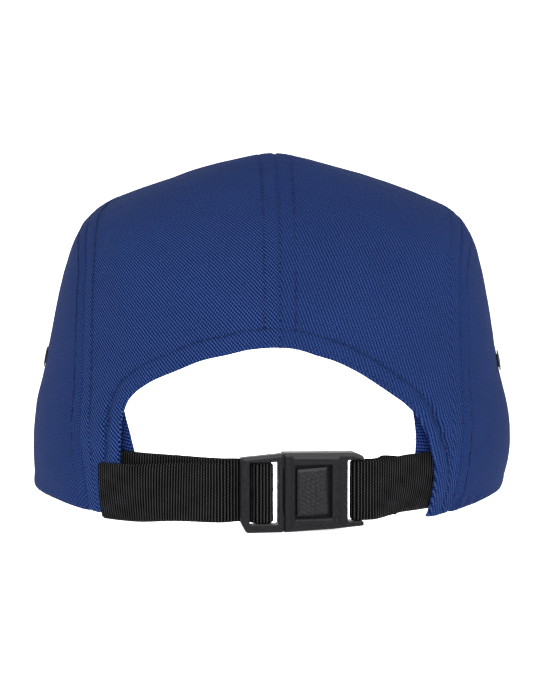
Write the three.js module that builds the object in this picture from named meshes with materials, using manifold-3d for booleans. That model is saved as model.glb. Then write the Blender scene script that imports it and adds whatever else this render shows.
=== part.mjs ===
import * as THREE from "three";
import { mergeVertices } from "three/addons/utils/BufferGeometryUtils.js";
import Module from "manifold-3d";

// Crown, millimetres: the front is -Y, the back +Y, the wearer's left +X, and the rim lies near z = 0
const HALF_WIDTH = 85.2;
const FRONT_REACH = 100;
const BACK_REACH = 97;
const CROWN_HEIGHT = 118;
const CROWN_LEAN = 1.2;
const PLAN_POWER = 2.12;
const TOP_POWER = 2.62;
const RIM_START = 0.9;
const RIM_ROUNDING = 0.18;
const RIM_SHIFT = 1;
const RIM_DROOP = { left: 0.7, right: 1.5 };
const DROOP_FROM = 0.45;
const DROOP_TO = 0.8;
const WALL = 1.5;
const GAP = 0.3;

// Sweatband
const BAND_THICKNESS = 1;
const BAND_TOP = 0.8;
const BAND_FOOT = 0.985;
const BAND_STEP_FROM = 28;
const BAND_STEP_TO = 40;
const BAND_COLUMNS = 56;
const BAND_ROWS = 3;

// Peak
const PEAK_HALF_WIDTH = 84;
const PEAK_REACH = 107;
const PEAK_LOBE = 20;
const PEAK_CENTRE_Y = -60;
const PEAK_POWER = 2.4;
const PEAK_THICKNESS = 2.5;
const PEAK_DROP = 0.45;
const PEAK_HALF_ANGLE = 59;
const PEAK_START_TURN = -0.5;
const PEAK_BOW_MARGIN = 3;
const PEAK_COLUMNS = 30;
const PEAK_ROWS = 6;

// Webbing
const STRAP_WIDTH = 20;
const STRAP_THICKNESS = 1.2;
const STRAP_ROOM = 0.5;
const FIXED_HEIGHT = 12;
const BUCKLE_LEVEL = 10.8;
const TAIL_HEIGHT = 7.8;
const TAIL_TILT = 0.05;
const RIGHT_HEIGHT = 11.2;
const REAR_HEIGHT = 10.9;
const REAR_LAYER = 2;
const STRAP_ROWS = 2;
const LEFT_SECTIONS = 72;
const RIGHT_SECTIONS = 54;
const RIM_RISE = 178;

// Buckle: along runs to the wearer's left from the line where the halves meet, deep runs in from the face
const BUCKLE_X = -1.1;
const BUCKLE_Y = 101;
const BUCKLE_TURN = 9;
const BUCKLE_HEIGHT = 26.4;
const PLUG_LENGTH = 14.2;
const SOCKET_LENGTH = 27.1;
const SOCKET_DEPTH = 8;
const SHELL_FRONT = 0.6;
const SHELL_CUT = 1.4;
const PLUG_MARGIN = 0.7;
const PLUG_CUT = 1.2;
const FACE = { from: -20.5, to: -1.2, margin: 1, cut: 1.6, thickness: 1 };
const WINDOW = { from: -16, to: -3.8, half: 9.05, cut: 0.8 };
const POCKET = { from: -17.6, to: -2.2, front: 2.6, back: 5 };
const MOUTH = { from: -4, to: 1, front: 2.8, back: 4.8 };
const BUTTON = { from: -14.65, to: -4.4, half: 8, cut: 1.1, front: 0.5 };
const TONGUE = { from: -15.4, to: 1, half: 7.6, cut: 1, front: 3.2, back: 4.4 };
const SLOT_HALF = 10.25;
const SLOT_FROM = 2;
const SLOT_TO = 11.65;
const LUGS_FROM = -21.5;
const MIDDLE_BAR = { from: 4.8, to: 8.2, front: 2.6, back: 4.2, wrap: 0.95 };
const REAR_BAR = { from: -26.6, to: -24.7, front: 3.2, back: 4.8, wrap: 1.2 };
const BAR_ROOT = 0.5;
const TURNS = [90, 45, 0, -45, -90];

// Eyelets
const EYELET_OUTER = 7.6;
const EYELET_BORE = 3.4;
const EYELET_BARREL = 4.8;
const EYELET_HOLE = 5.4;
const EYELET_ALONG = 0.755;
const EYELET_CREST = 0.6;
const EYELET_LIP = 0.3;
const EYELET_INNER_MARGIN = 0.5;
const EYELET_TURNS = 14;
const EYELETS = {
  rear: { angle: 10.8, skew: 5.2 },
  front: { angle: -7.5, skew: 4 },
};

const COLOURS = {
  twill: 0x2e4a8a,
  band: 0x2b4078,
  webbing: 0x18181a,
  plastic: 0x1c1c1f,
  eyelet: 0x131315,
};

// The crown's profile from the rim (along 1) to the top (along 0), as shares of the reach and the height
const PROFILE_COLUMNS = ["along", "sideOut", "sideUp", "frontOut", "frontUp", "backOut", "backUp"];
const PROFILE = [
  [0.0, 0.0, 1.0, 0.0, 1.0, 0.0, 1.0],
  [0.05, 0.0775, 0.992, 0.069, 0.995, 0.0675, 0.993],
  [0.16, 0.238, 0.961, 0.216, 0.976, 0.212, 0.965],
  [0.29, 0.458, 0.91, 0.424, 0.94, 0.402, 0.906],
  [0.395, 0.65, 0.858, 0.61, 0.892, 0.58, 0.822],
  [0.447, 0.748, 0.823, 0.704, 0.852, 0.66, 0.766],
  [0.5, 0.812, 0.768, 0.78, 0.792, 0.73, 0.705],
  [0.58, 0.864, 0.67, 0.86, 0.685, 0.815, 0.6],
  [0.68, 0.912, 0.508, 0.928, 0.535, 0.895, 0.46],
  [0.78, 0.952, 0.352, 0.97, 0.385, 0.95, 0.325],
  [0.84, 0.986, 0.254, 0.988, 0.29, 0.975, 0.237],
  [0.92, 0.998, 0.127, 1.0, 0.17, 0.995, 0.119],
  [1.0, 0.982, 0.0, 1.0, 0.068, 1.0, 0.0],
];

// Seam and edge lines: angle in degrees from the wearer's left or right side towards the back.
// The skew is added on the right and taken off on the left
const SIDE_SEAM = [
  { along: 1.0, angle: 46.8, skew: 1.6 },
  { along: 0.92, angle: 46.9, skew: 1.8 },
  { along: 0.86, angle: 45.8, skew: 2.1 },
  { along: 0.78, angle: 44.5, skew: 2.3 },
  { along: 0.68, angle: 42.1, skew: 2.6 },
  { along: 0.61, angle: 38.9, skew: 2.8 },
  { along: 0.54, angle: 34.0, skew: 2.8 },
  { along: 0.496, angle: 26.5, skew: 2.4 },
  { along: 0.465, angle: 12.0, skew: 1.5 },
  { along: 0.45, angle: -10.0, skew: 0.8 },
  { along: 0.44, angle: -36.0, skew: 0.0 },
];
const SEAM_SPLIT = 0.5;
const FRONT_SEAM_SIDE = [
  { along: 1.0, angle: -28.0, skew: 0 },
  { along: 0.8, angle: -29.5, skew: 0 },
  { along: 0.62, angle: -31.5, skew: 0 },
  { along: 0.5, angle: -34.0, skew: 0 },
  { along: 0.44, angle: -36.0, skew: 0 },
];
const FRONT_SEAM_TOP = [
  { along: 0.44, angle: -36.0, skew: 0 },
  { along: 0.415, angle: -47.9, skew: 0 },
  { along: 0.3945, angle: -64.6, skew: 0 },
  { along: 0.385, angle: -90.0, skew: 0 },
];
const ARCH = [
  { along: 0.661, angle: 90.0, skew: 0.0 },
  { along: 0.665, angle: 84.7, skew: 1.5 },
  { along: 0.677, angle: 80.0, skew: 2.0 },
  { along: 0.69, angle: 75.4, skew: 2.5 },
  { along: 0.713, angle: 70.6, skew: 2.8 },
  { along: 0.748, angle: 64.4, skew: 3.8 },
  { along: 0.765, angle: 62.0, skew: 3.8 },
  { along: 0.785, angle: 59.7, skew: 3.3 },
  { along: 0.815, angle: 57.8, skew: 2.2 },
  { along: 0.86, angle: 56.9, skew: 1.1 },
  { along: 0.9, angle: 56.3, skew: 0.4 },
  { along: 0.97, angle: 56.0, skew: 0.1 },
  { along: 1.0, angle: 56.4, skew: 0.5 },
];
const BAND_END = [
  { along: BAND_FOOT, angle: 60.0, skew: 0.7 },
  { along: 0.9, angle: 59.4, skew: 0.8 },
  { along: 0.85, angle: 58.3, skew: 1.4 },
  { along: BAND_TOP, angle: 57.1, skew: 2.8 },
];
const ARCH_BEND = 0.63;

// Grid cells along each shared line: neighbours use the same count, so their edges stay parallel
const SEAM_CELLS = 26;
const STRIP_ROWS = 5;
const STRIP_COLUMNS = 4;
const FRONT_SEAM_CELLS = 13;
const TOP_COLUMNS = 14;

// A smooth value through rows of [position, value], with slopes taken from the neighbours
function smoothRow(xs, ys, x) {
  const last = xs.length - 1;
  let i = 0;
  while (i < last - 1 && x > xs[i + 1]) i += 1;
  const slope = (k) => (ys[k + 1] - ys[k]) / (xs[k + 1] - xs[k]);
  const tangent = (k) => {
    if (k === 0) return slope(0);
    if (k === last) return slope(last - 1);
    const before = xs[k] - xs[k - 1];
    const after = xs[k + 1] - xs[k];
    return (slope(k - 1) * after + slope(k) * before) / (before + after);
  };
  const h = xs[i + 1] - xs[i];
  const t = (x - xs[i]) / h;
  const places = ((2 * t - 3) * t * t + 1) * ys[i] + (3 - 2 * t) * t * t * ys[i + 1];
  const slopes = ((t - 2) * t + 1) * t * tangent(i) + (t - 1) * t * t * tangent(i + 1);
  return places + h * slopes;
}

const profileColumns = {};
PROFILE_COLUMNS.forEach((name, column) => {
  profileColumns[name] = PROFILE.map((row) => row[column]);
});
const profile = (name, along) => smoothRow(profileColumns.along, profileColumns[name], along);

// The crown's outer surface over the unit disk: x to the wearer's left, y to the back, distance 1 at the rim
function crownPoint(flat) {
  const along = Math.hypot(flat.x, flat.y);
  const across = along > 1e-9 ? flat.x / along : 1;
  const back = along > 1e-9 ? flat.y / along : 0;
  const toBack = back >= 0;
  const sideReach = Math.max(profile("sideOut", along) * HALF_WIDTH, 1e-6);
  const endReach = toBack ? profile("backOut", along) * BACK_REACH : profile("frontOut", along) * FRONT_REACH;
  const endUp = profile(toBack ? "backUp" : "frontUp", along);
  const nearRim = Math.max(0, (along - RIM_START) / (1 - RIM_START)) ** 2;
  const rounding = toBack ? RIM_ROUNDING * nearRim : 0;
  const nearTop = Math.min(1, (1 - along) * 2);
  const power = PLAN_POWER + (TOP_POWER - PLAN_POWER) * nearTop - rounding;
  const sum = Math.abs(across / sideReach) ** power + Math.abs(back / Math.max(endReach, 1e-6)) ** power;
  const radius = sum ** (-1 / power);
  const z = (profile("sideUp", along) * across * across + endUp * back * back) * CROWN_HEIGHT;
  const lean = CROWN_LEAN * Math.max(0, z / CROWN_HEIGHT) ** 2;
  const droop = across > 0 ? RIM_DROOP.left : RIM_DROOP.right;
  const drooped = z - droop * nearRim * THREE.MathUtils.smoothstep(back, DROOP_FROM, DROOP_TO);
  return new THREE.Vector3(radius * across - lean + RIM_SHIFT * nearRim, radius * back, drooped);
}

function crownNormal(flat) {
  const step = 2e-3;
  const at = (dx, dy) => crownPoint({ x: flat.x + dx, y: flat.y + dy });
  const alongX = at(step, 0).sub(at(-step, 0));
  const alongY = at(0, step).sub(at(0, -step));
  return alongX.cross(alongY).normalize();
}

const offsetPoint = (flat, out) => crownPoint(flat).addScaledVector(crownNormal(flat), out);

// side is 1 for the wearer's left and -1 for the right
function flatPoint(side, degrees, along) {
  const angle = THREE.MathUtils.degToRad(degrees);
  return { x: side * Math.cos(angle) * along, y: Math.sin(angle) * along };
}

function tableLine(rows, side) {
  const points = rows.map((row) => flatPoint(side, row.angle - side * row.skew, row.along));
  return flatLine(points);
}

function flatLine(points) {
  const lengths = [0];
  for (let i = 1; i < points.length; i += 1)
    lengths.push(lengths[i - 1] + Math.hypot(points[i].x - points[i - 1].x, points[i].y - points[i - 1].y));
  const total = lengths[lengths.length - 1];
  const xs = points.map((p) => p.x);
  const ys = points.map((p) => p.y);
  return (t) => ({ x: smoothRow(lengths, xs, t * total), y: smoothRow(lengths, ys, t * total) });
}

function rimLine(side, fromDegrees, toDegrees, along = 1) {
  return (t) => flatPoint(side, fromDegrees + (toDegrees - fromDegrees) * t, along);
}

const seamAngle = (side, rows) => rows[0].angle - side * rows[0].skew;
const lastAngle = (side, rows) => rows[rows.length - 1].angle - side * rows[rows.length - 1].skew;

// A patch of the disk between four edge lines: foot and head run along u, start and end along v
function patch({ foot, head, start, end }) {
  const corners = { a: foot(0), b: foot(1), c: head(0), d: head(1) };
  return (u, v) => {
    const pick = (axis) =>
      (1 - v) * foot(u)[axis] +
      v * head(u)[axis] +
      (1 - u) * start(v)[axis] +
      u * end(v)[axis] -
      (1 - u) * (1 - v) * corners.a[axis] -
      u * (1 - v) * corners.b[axis] -
      (1 - u) * v * corners.c[axis] -
      u * v * corners.d[axis];
    return { x: pick("x"), y: pick("y") };
  };
}

function between(a, b) {
  return (t) => ({ x: a.x + (b.x - a.x) * t, y: a.y + (b.y - a.y) * t });
}

// The top panel is a main area and, past the bend of the arch, the strip that runs down to the rim
function topPanelAreas(side) {
  const seamTop = FRONT_SEAM_TOP[FRONT_SEAM_TOP.length - 1];
  const centre = flatLine([
    flatPoint(side, seamTop.angle, seamTop.along),
    { x: 0, y: 0 },
    flatPoint(side, ARCH[0].angle, ARCH[0].along),
  ]);
  const frontRows = tableLine(FRONT_SEAM_TOP, side);
  const seamRows = tableLine(SIDE_SEAM, side);
  const arch = tableLine(ARCH, side);
  const stripShare = STRIP_ROWS / SEAM_CELLS;
  const archShare = (TOP_COLUMNS - STRIP_COLUMNS) / TOP_COLUMNS;
  const across = between(arch(ARCH_BEND), seamRows(stripShare));
  const main = patch({
    foot: (u) => frontRows(1 - u),
    head: (u) => {
      if (u <= archShare) return arch((ARCH_BEND * u) / archShare);
      return across((u - archShare) / (1 - archShare));
    },
    start: centre,
    end: (v) => seamRows(1 - (1 - stripShare) * v),
  });
  const strip = patch({
    foot: across,
    head: rimLine(side, lastAngle(side, ARCH), seamAngle(side, SIDE_SEAM)),
    start: (v) => arch(ARCH_BEND + (1 - ARCH_BEND) * v),
    end: (v) => seamRows(stripShare * (1 - v)),
  });
  return { main, strip };
}

function sidePanelPatch(side) {
  const seamRows = tableLine(SIDE_SEAM, side);
  return patch({
    foot: rimLine(side, FRONT_SEAM_SIDE[0].angle, seamAngle(side, SIDE_SEAM)),
    head: (u) => seamRows(1 - (1 - SEAM_SPLIT) * u),
    start: tableLine(FRONT_SEAM_SIDE, side),
    end: (v) => seamRows(SEAM_SPLIT * v),
  });
}

function frontPanelPatch() {
  const left = tableLine(FRONT_SEAM_TOP, 1);
  const right = tableLine(FRONT_SEAM_TOP, -1);
  return patch({
    foot: rimLine(1, FRONT_SEAM_SIDE[0].angle, -180 - FRONT_SEAM_SIDE[0].angle),
    head: (u) => (u < 0.5 ? left(u * 2) : right(2 - u * 2)),
    start: tableLine(FRONT_SEAM_SIDE, 1),
    end: tableLine(FRONT_SEAM_SIDE, -1),
  });
}

// How far into a patch an edge vertex moves so that neighbours keep their gap
function insetShare(area, u, v, du, dv) {
  const probe = 0.02;
  const here = crownPoint(area(u, v));
  const there = crownPoint(area(u + du * probe, v + dv * probe));
  return ((GAP / 2) * probe) / Math.max(here.distanceTo(there), 1e-6);
}

// The point of a patch at a grid place, moved in by half the gap along the directions given as -1, 0 or 1
function gridPoint(area, u, v, moveU, moveV) {
  const shiftU = moveU ? moveU * insetShare(area, u, v, moveU, 0) : 0;
  const shiftV = moveV ? moveV * insetShare(area, u, v, 0, moveV) : 0;
  return area(u + shiftU, v + shiftV);
}

const edgeMove = (index, last) => (index === 0 ? 1 : index === last ? -1 : 0);

function quadsOf(columns, rows, vertex) {
  const quads = [];
  for (let j = 0; j < rows; j += 1)
    for (let i = 0; i < columns; i += 1)
      quads.push([vertex(i, j), vertex(i + 1, j), vertex(i + 1, j + 1), vertex(i, j + 1)]);
  return quads;
}

function patchCells(area, { columns, rows }) {
  const flats = [];
  for (let j = 0; j <= rows; j += 1)
    for (let i = 0; i <= columns; i += 1)
      flats.push(gridPoint(area, i / columns, j / rows, edgeMove(i, columns), edgeMove(j, rows)));
  return { flats, quads: quadsOf(columns, rows, (i, j) => j * (columns + 1) + i) };
}

// The main area's grid, with the strip's grid hung on the end of its last row
function topPanelCells(side) {
  const { main, strip } = topPanelAreas(side);
  const columns = TOP_COLUMNS;
  const rows = SEAM_CELLS - STRIP_ROWS;
  const bend = TOP_COLUMNS - STRIP_COLUMNS;
  const flats = [];
  for (let j = 0; j <= rows; j += 1)
    for (let i = 0; i <= columns; i += 1) {
      const onHead = j === rows;
      const moveU = onHead && i === bend ? 1 : edgeMove(i, columns);
      const moveV = onHead && i >= bend ? 0 : edgeMove(j, rows);
      flats.push(gridPoint(main, i / columns, j / rows, moveU, moveV));
    }
  const wide = columns + 1;
  const first = flats.length;
  for (let j = 1; j <= STRIP_ROWS; j += 1)
    for (let i = 0; i <= STRIP_COLUMNS; i += 1) {
      const moveV = j === STRIP_ROWS ? -1 : 0;
      flats.push(gridPoint(strip, i / STRIP_COLUMNS, j / STRIP_ROWS, edgeMove(i, STRIP_COLUMNS), moveV));
    }
  const stripRow = (j) => (j === 0 ? rows * wide + bend : first + (j - 1) * (STRIP_COLUMNS + 1));
  const stripVertex = (i, j) => stripRow(j) + i;
  const quads = [
    ...quadsOf(columns, rows, (i, j) => j * wide + i),
    ...quadsOf(STRIP_COLUMNS, STRIP_ROWS, stripVertex),
  ];
  return { flats, quads };
}

function wallGeometry({ flats, quads }, outer, inner) {
  return skinGeometry(
    flats.map((flat) => offsetPoint(flat, outer(flat))),
    flats.map((flat) => offsetPoint(flat, inner(flat))),
    quads,
  );
}

// Closes an outer and an inner skin that share their quads into one solid, with walls along the open edges
function skinGeometry(outerPoints, innerPoints, quads) {
  const positions = [];
  for (const p of [...outerPoints, ...innerPoints]) positions.push(p.x, p.y, p.z);
  const half = outerPoints.length;
  const index = [];
  const edges = new Map();
  for (const [a, b, c, d] of quads) {
    index.push(a, b, c, a, c, d);
    index.push(half + a, half + c, half + b, half + a, half + d, half + c);
    for (const [from, to] of [[a, b], [b, c], [c, d], [d, a]]) edges.set(`${from} ${to}`, [from, to]);
  }
  for (const [from, to] of edges.values())
    if (!edges.has(`${to} ${from}`)) index.push(to, from, half + from, to, half + from, half + to);
  const geometry = new THREE.BufferGeometry();
  geometry.setAttribute("position", new THREE.BufferAttribute(new Float32Array(positions), 3));
  geometry.setIndex(index);
  return geometry;
}

const gridQuads = (columns, rows) => quadsOf(columns, rows, (i, j) => j * (columns + 1) + i);

const wasm = await Module();
wasm.setup();

// A geometry as a manifold-3d solid, turned face out if its grid ran the other way
function solid(geometry) {
  const plain = geometry.clone();
  plain.deleteAttribute("normal");
  plain.deleteAttribute("uv");
  const merged = mergeVertices(plain, 1e-4);
  const vertProperties = new Float32Array(merged.attributes.position.array);
  const make = (triVerts) => new wasm.Manifold(new wasm.Mesh({ numProp: 3, vertProperties, triVerts }));
  const faces = new Uint32Array(merged.index.array);
  const made = make(faces);
  if (made.volume() > 0) return made;
  for (let i = 0; i < faces.length; i += 3) [faces[i + 1], faces[i + 2]] = [faces[i + 2], faces[i + 1]];
  return make(faces);
}

function geometryOf(manifold) {
  const mesh = manifold.getMesh();
  const geometry = new THREE.BufferGeometry();
  geometry.setAttribute("position", new THREE.BufferAttribute(new Float32Array(mesh.vertProperties), 3));
  geometry.setIndex(new THREE.BufferAttribute(new Uint32Array(mesh.triVerts), 1));
  return geometry;
}

const constant = (value) => () => value;
const panelWall = (cells) => solid(wallGeometry(cells, constant(0), constant(-WALL)));

function eyeletFrame(side, place) {
  const flat = flatPoint(side, place.angle - side * place.skew, EYELET_ALONG);
  const normal = crownNormal(flat);
  const turn = new THREE.Quaternion().setFromUnitVectors(new THREE.Vector3(0, 1, 0), normal);
  return new THREE.Matrix4().compose(crownPoint(flat), turn, new THREE.Vector3(1, 1, 1));
}

function eyeletHole(side, place) {
  const hole = new THREE.CylinderGeometry(EYELET_HOLE / 2, EYELET_HOLE / 2, WALL * 6, 20);
  return solid(hole.applyMatrix4(eyeletFrame(side, place)));
}

// An outer flange, a barrel through the wall and a smaller inner flange
function eyelet(side, place) {
  const bore = EYELET_BORE / 2;
  const barrel = EYELET_BARREL / 2;
  const rim = EYELET_OUTER / 2;
  const outside = GAP;
  const inside = -WALL - GAP;
  const foot = inside - EYELET_CREST;
  const innerRim = rim - EYELET_INNER_MARGIN;
  const profilePoints = [
    [bore, foot],
    [innerRim, foot],
    [innerRim, inside],
    [barrel, inside],
    [barrel, outside],
    [rim, outside],
    [(bore + rim) / 2, outside + EYELET_CREST],
    [bore, outside + EYELET_LIP],
    [bore, foot],
  ].map(([radius, height]) => new THREE.Vector2(radius, height));
  return new THREE.LatheGeometry(profilePoints, EYELET_TURNS).applyMatrix4(eyeletFrame(side, place));
}

function sidePanel(side) {
  let wall = panelWall(patchCells(sidePanelPatch(side), { columns: SEAM_CELLS / 2, rows: FRONT_SEAM_CELLS }));
  for (const place of Object.values(EYELETS)) wall = wall.subtract(eyeletHole(side, place));
  return geometryOf(wall);
}

const topPanel = (side) => geometryOf(panelWall(topPanelCells(side)));
const frontCells = { columns: 2 * TOP_COLUMNS, rows: FRONT_SEAM_CELLS };
const frontPanel = () => geometryOf(panelWall(patchCells(frontPanelPatch(), frontCells)));

// The band lies on the wall, and steps in behind the webbing near its ends
function sweatband() {
  const left = tableLine(BAND_END, 1);
  const right = tableLine(BAND_END, -1);
  const fromAngle = seamAngle(1, BAND_END);
  const toAngle = -180 - seamAngle(-1, BAND_END);
  const area = patch({
    foot: (u) => flatPoint(1, fromAngle + (toAngle - fromAngle) * u, BAND_FOOT),
    head: (u) => {
      const top = lastAngle(1, BAND_END);
      return flatPoint(1, top + (-180 - lastAngle(-1, BAND_END) - top) * u, BAND_TOP);
    },
    start: left,
    end: right,
  });
  const outerFace = (flat) => {
    const angle = THREE.MathUtils.radToDeg(Math.atan2(flat.y, Math.abs(flat.x)));
    const step = THREE.MathUtils.smoothstep(angle, BAND_STEP_FROM, BAND_STEP_TO);
    return -WALL - GAP - (STRAP_THICKNESS + STRAP_ROOM) * step;
  };
  const innerFace = (flat) => outerFace(flat) - BAND_THICKNESS;
  const cells = patchCells(area, { columns: BAND_COLUMNS, rows: BAND_ROWS });
  return geometryOf(solid(wallGeometry(cells, outerFace, innerFace)));
}

// The peak hangs just under the front rim and curves down to its two lobes
function peak() {
  const columns = PEAK_COLUMNS;
  const rows = PEAK_ROWS;
  const topPoints = [];
  const footPoints = [];
  for (let j = 0; j <= rows; j += 1)
    for (let i = 0; i <= columns; i += 1) {
      const share = i / columns;
      const degrees = -90 + PEAK_HALF_ANGLE - 2 * PEAK_HALF_ANGLE * share;
      const flat = flatPoint(1, degrees, 1);
      const rim = crownPoint(flat);
      const inward = new THREE.Vector2(rim.x, rim.y).normalize().multiplyScalar(WALL / 2);
      const turn = PEAK_START_TURN + (Math.PI - 2 * PEAK_START_TURN) * share;
      const rounded = (value) => Math.sign(value) * Math.abs(value) ** (2 / PEAK_POWER);
      const edgeX = PEAK_HALF_WIDTH * rounded(Math.cos(turn));
      const edgeY = PEAK_CENTRE_Y - (Math.sin(turn) > 0 ? PEAK_REACH : PEAK_LOBE) * rounded(Math.sin(turn));
      const t = j / rows;
      const x = (rim.x - inward.x) * (1 - t) + edgeX * t;
      const y = (rim.y - inward.y) * (1 - t) + edgeY * t;
      const bow = Math.max(0, 1 - (x / (HALF_WIDTH + PEAK_BOW_MARGIN)) ** 2);
      const z = rim.z * (1 - t) + profile("frontUp", 1) * CROWN_HEIGHT * bow * (1 - PEAK_DROP) * t - GAP;
      topPoints.push(new THREE.Vector3(x, y, z));
      footPoints.push(new THREE.Vector3(x, y, z - PEAK_THICKNESS));
    }
  return geometryOf(solid(skinGeometry(topPoints, footPoints, gridQuads(columns, rows))));
}

const buckleTurn = THREE.MathUtils.degToRad(BUCKLE_TURN);

// A plan point at a place along and into the buckle
function bucklePoint(along, deep) {
  return {
    x: BUCKLE_X + along * Math.cos(buckleTurn) + deep * Math.sin(buckleTurn),
    y: BUCKLE_Y + along * Math.sin(buckleTurn) - deep * Math.cos(buckleTurn),
  };
}

// Places that webbing passes through: against the crown, or in the buckle, with the height of its centre line
const onCrown = (side, degrees, out, height, tilt = 0) => ({ side, degrees, out, height, tilt });
const inBuckle = (along, deep, height) => ({ ...bucklePoint(along, deep), height });

function stationPoint(station, up) {
  const z = station.height + up;
  if (station.side === undefined) return new THREE.Vector3(station.x, station.y, z);
  const along = 1 - z / RIM_RISE;
  const degrees = station.degrees + station.tilt * up;
  return offsetPoint(flatPoint(station.side, degrees, along), station.out).setZ(z);
}

// Webbing standing on edge through its stations, in rows from its lower to its upper edge
function webbing(stations, sections) {
  const outside = [];
  const inside = [];
  for (let j = 0; j <= STRAP_ROWS; j += 1) {
    const up = (j / STRAP_ROWS - 0.5) * STRAP_WIDTH;
    const curve = new THREE.CatmullRomCurve3(
      stations.map((station) => stationPoint(station, up)),
      false,
      "centripetal",
    );
    for (let i = 0; i <= sections; i += 1) {
      const t = i / sections;
      const tangent = curve.getTangent(t).setZ(0).normalize();
      const normal = new THREE.Vector3(-tangent.y, tangent.x, 0);
      const centre = curve.getPoint(t);
      outside.push(centre.clone().addScaledVector(normal, STRAP_THICKNESS / 2));
      inside.push(centre.clone().addScaledVector(normal, -STRAP_THICKNESS / 2));
    }
  }
  return geometryOf(solid(skinGeometry(outside, inside, gridQuads(sections, STRAP_ROWS))));
}

// The half turn round the end of a bar, from its back to its front: toward is 1 for the wearer's left end
function roundBar(bar, toward) {
  const end = toward > 0 ? bar.to : bar.from;
  const middle = (bar.front + bar.back) / 2;
  const reach = (bar.back - bar.front) / 2 + bar.wrap;
  return TURNS.map((degrees) => {
    const turn = THREE.MathUtils.degToRad(degrees);
    const along = end + toward * bar.wrap * Math.cos(turn);
    return inBuckle(along, middle + reach * Math.sin(turn), BUCKLE_LEVEL);
  });
}

const HIDDEN = -WALL - STRAP_ROOM - STRAP_THICKNESS / 2;
const SHOWN = GAP + STRAP_THICKNESS / 2;

// From inside the left rim, round the plug's middle bar, and back over the outside as the free end
function leftWebbing() {
  const fixed = [44, 48, 52, 56].map((degrees) => onCrown(1, degrees, HIDDEN, FIXED_HEIGHT));
  const stations = [
    ...fixed,
    onCrown(1, 61, HIDDEN + 0.4, FIXED_HEIGHT),
    onCrown(1, 69, HIDDEN + 1, FIXED_HEIGHT),
    inBuckle(20, 7.6, BUCKLE_LEVEL + 1.3),
    inBuckle(14.5, 6.95, BUCKLE_LEVEL + 1.2),
    inBuckle(12, 6.9, BUCKLE_LEVEL + 0.9),
    inBuckle(10, 6.4, BUCKLE_LEVEL + 0.5),
    inBuckle(8.5, 5.6, BUCKLE_LEVEL + 0.2),
    inBuckle(7.2, 5.25, BUCKLE_LEVEL),
    ...roundBar(MIDDLE_BAR, -1),
    inBuckle(7.5, 1.5, BUCKLE_LEVEL),
    inBuckle(8.7, 1.7, BUCKLE_LEVEL),
    inBuckle(9.4, 2.3, BUCKLE_LEVEL),
    inBuckle(10.1, 3.6, BUCKLE_LEVEL),
    inBuckle(10.8, 4.9, BUCKLE_LEVEL),
    inBuckle(11.9, 5.4, BUCKLE_LEVEL),
    inBuckle(14.5, 5.4, BUCKLE_LEVEL + 0.3),
    inBuckle(20, 5.8, BUCKLE_LEVEL),
    onCrown(1, 69, SHOWN - 0.3, BUCKLE_LEVEL - 1),
    onCrown(1, 61, SHOWN + 0.1, TAIL_HEIGHT + 0.6),
    onCrown(1, 55, SHOWN + 0.3, TAIL_HEIGHT + 0.2),
    onCrown(1, 50.6, SHOWN + 0.2, TAIL_HEIGHT, TAIL_TILT),
  ];
  return webbing(stations, LEFT_SECTIONS);
}

// From inside the right rim, round the socket's rear bar, with its end doubled back behind
function rightWebbing() {
  const fixed = [46, 50, 54, 58.5].map((degrees) => onCrown(-1, degrees, HIDDEN, RIGHT_HEIGHT));
  const leaves = onCrown(-1, 63, HIDDEN + 1, RIGHT_HEIGHT + 0.1);
  const enters = inBuckle(-31, 2.9, BUCKLE_LEVEL);
  const behindFront = (share, height) => {
    const from = stationPoint(enters, 0).setZ(0);
    const to = stationPoint(leaves, 0).setZ(0);
    const across = to.clone().sub(from).normalize();
    const place = from.lerp(to, share);
    return { x: place.x - across.y * REAR_LAYER, y: place.y + across.x * REAR_LAYER, height };
  };
  const stations = [
    ...fixed,
    leaves,
    enters,
    inBuckle(-27.5, 2.1, BUCKLE_LEVEL),
    inBuckle(-26, 2, BUCKLE_LEVEL),
    ...roundBar(REAR_BAR, 1).reverse(),
    inBuckle(-26, 6, BUCKLE_LEVEL),
    inBuckle(-28, 5.8, BUCKLE_LEVEL + 0.1),
    inBuckle(-32, 5.2, BUCKLE_LEVEL + 0.3),
    behindFront(0.35, BUCKLE_LEVEL + 0.8),
    behindFront(0.8, REAR_HEIGHT),
  ];
  return webbing(stations, RIGHT_SECTIONS);
}

// A plate in the buckle's face plane: outline and holes as [along, up] corners, from one depth to another
function plate(outline, holes, fromDeep, toDeep) {
  const ring = (corners) => corners.map(([along, up]) => new THREE.Vector2(along, up));
  const shape = new THREE.Shape(ring(outline));
  for (const hole of holes) shape.holes.push(new THREE.Path(ring(hole)));
  const geometry = new THREE.ExtrudeGeometry(shape, { depth: toDeep - fromDeep, bevelEnabled: false });
  const place = new THREE.Matrix4().makeBasis(
    new THREE.Vector3(Math.cos(buckleTurn), Math.sin(buckleTurn), 0),
    new THREE.Vector3(0, 0, 1),
    new THREE.Vector3(Math.sin(buckleTurn), -Math.cos(buckleTurn), 0),
  );
  const corner = bucklePoint(0, fromDeep);
  place.setPosition(corner.x, corner.y, BUCKLE_LEVEL);
  return solid(geometry.applyMatrix4(place));
}

const box = (fromAlong, toAlong, halfUp) => [
  [fromAlong, -halfUp],
  [toAlong, -halfUp],
  [toAlong, halfUp],
  [fromAlong, halfUp],
];

// A block with cut corners on its two ends
function softBox(fromAlong, toAlong, halfUp, cut) {
  return [
    [fromAlong, -halfUp + cut],
    [fromAlong + cut, -halfUp],
    [toAlong - cut, -halfUp],
    [toAlong, -halfUp + cut],
    [toAlong, halfUp - cut],
    [toAlong - cut, halfUp],
    [fromAlong + cut, halfUp],
    [fromAlong, halfUp - cut],
  ];
}

const seam = GAP / 2;

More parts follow.
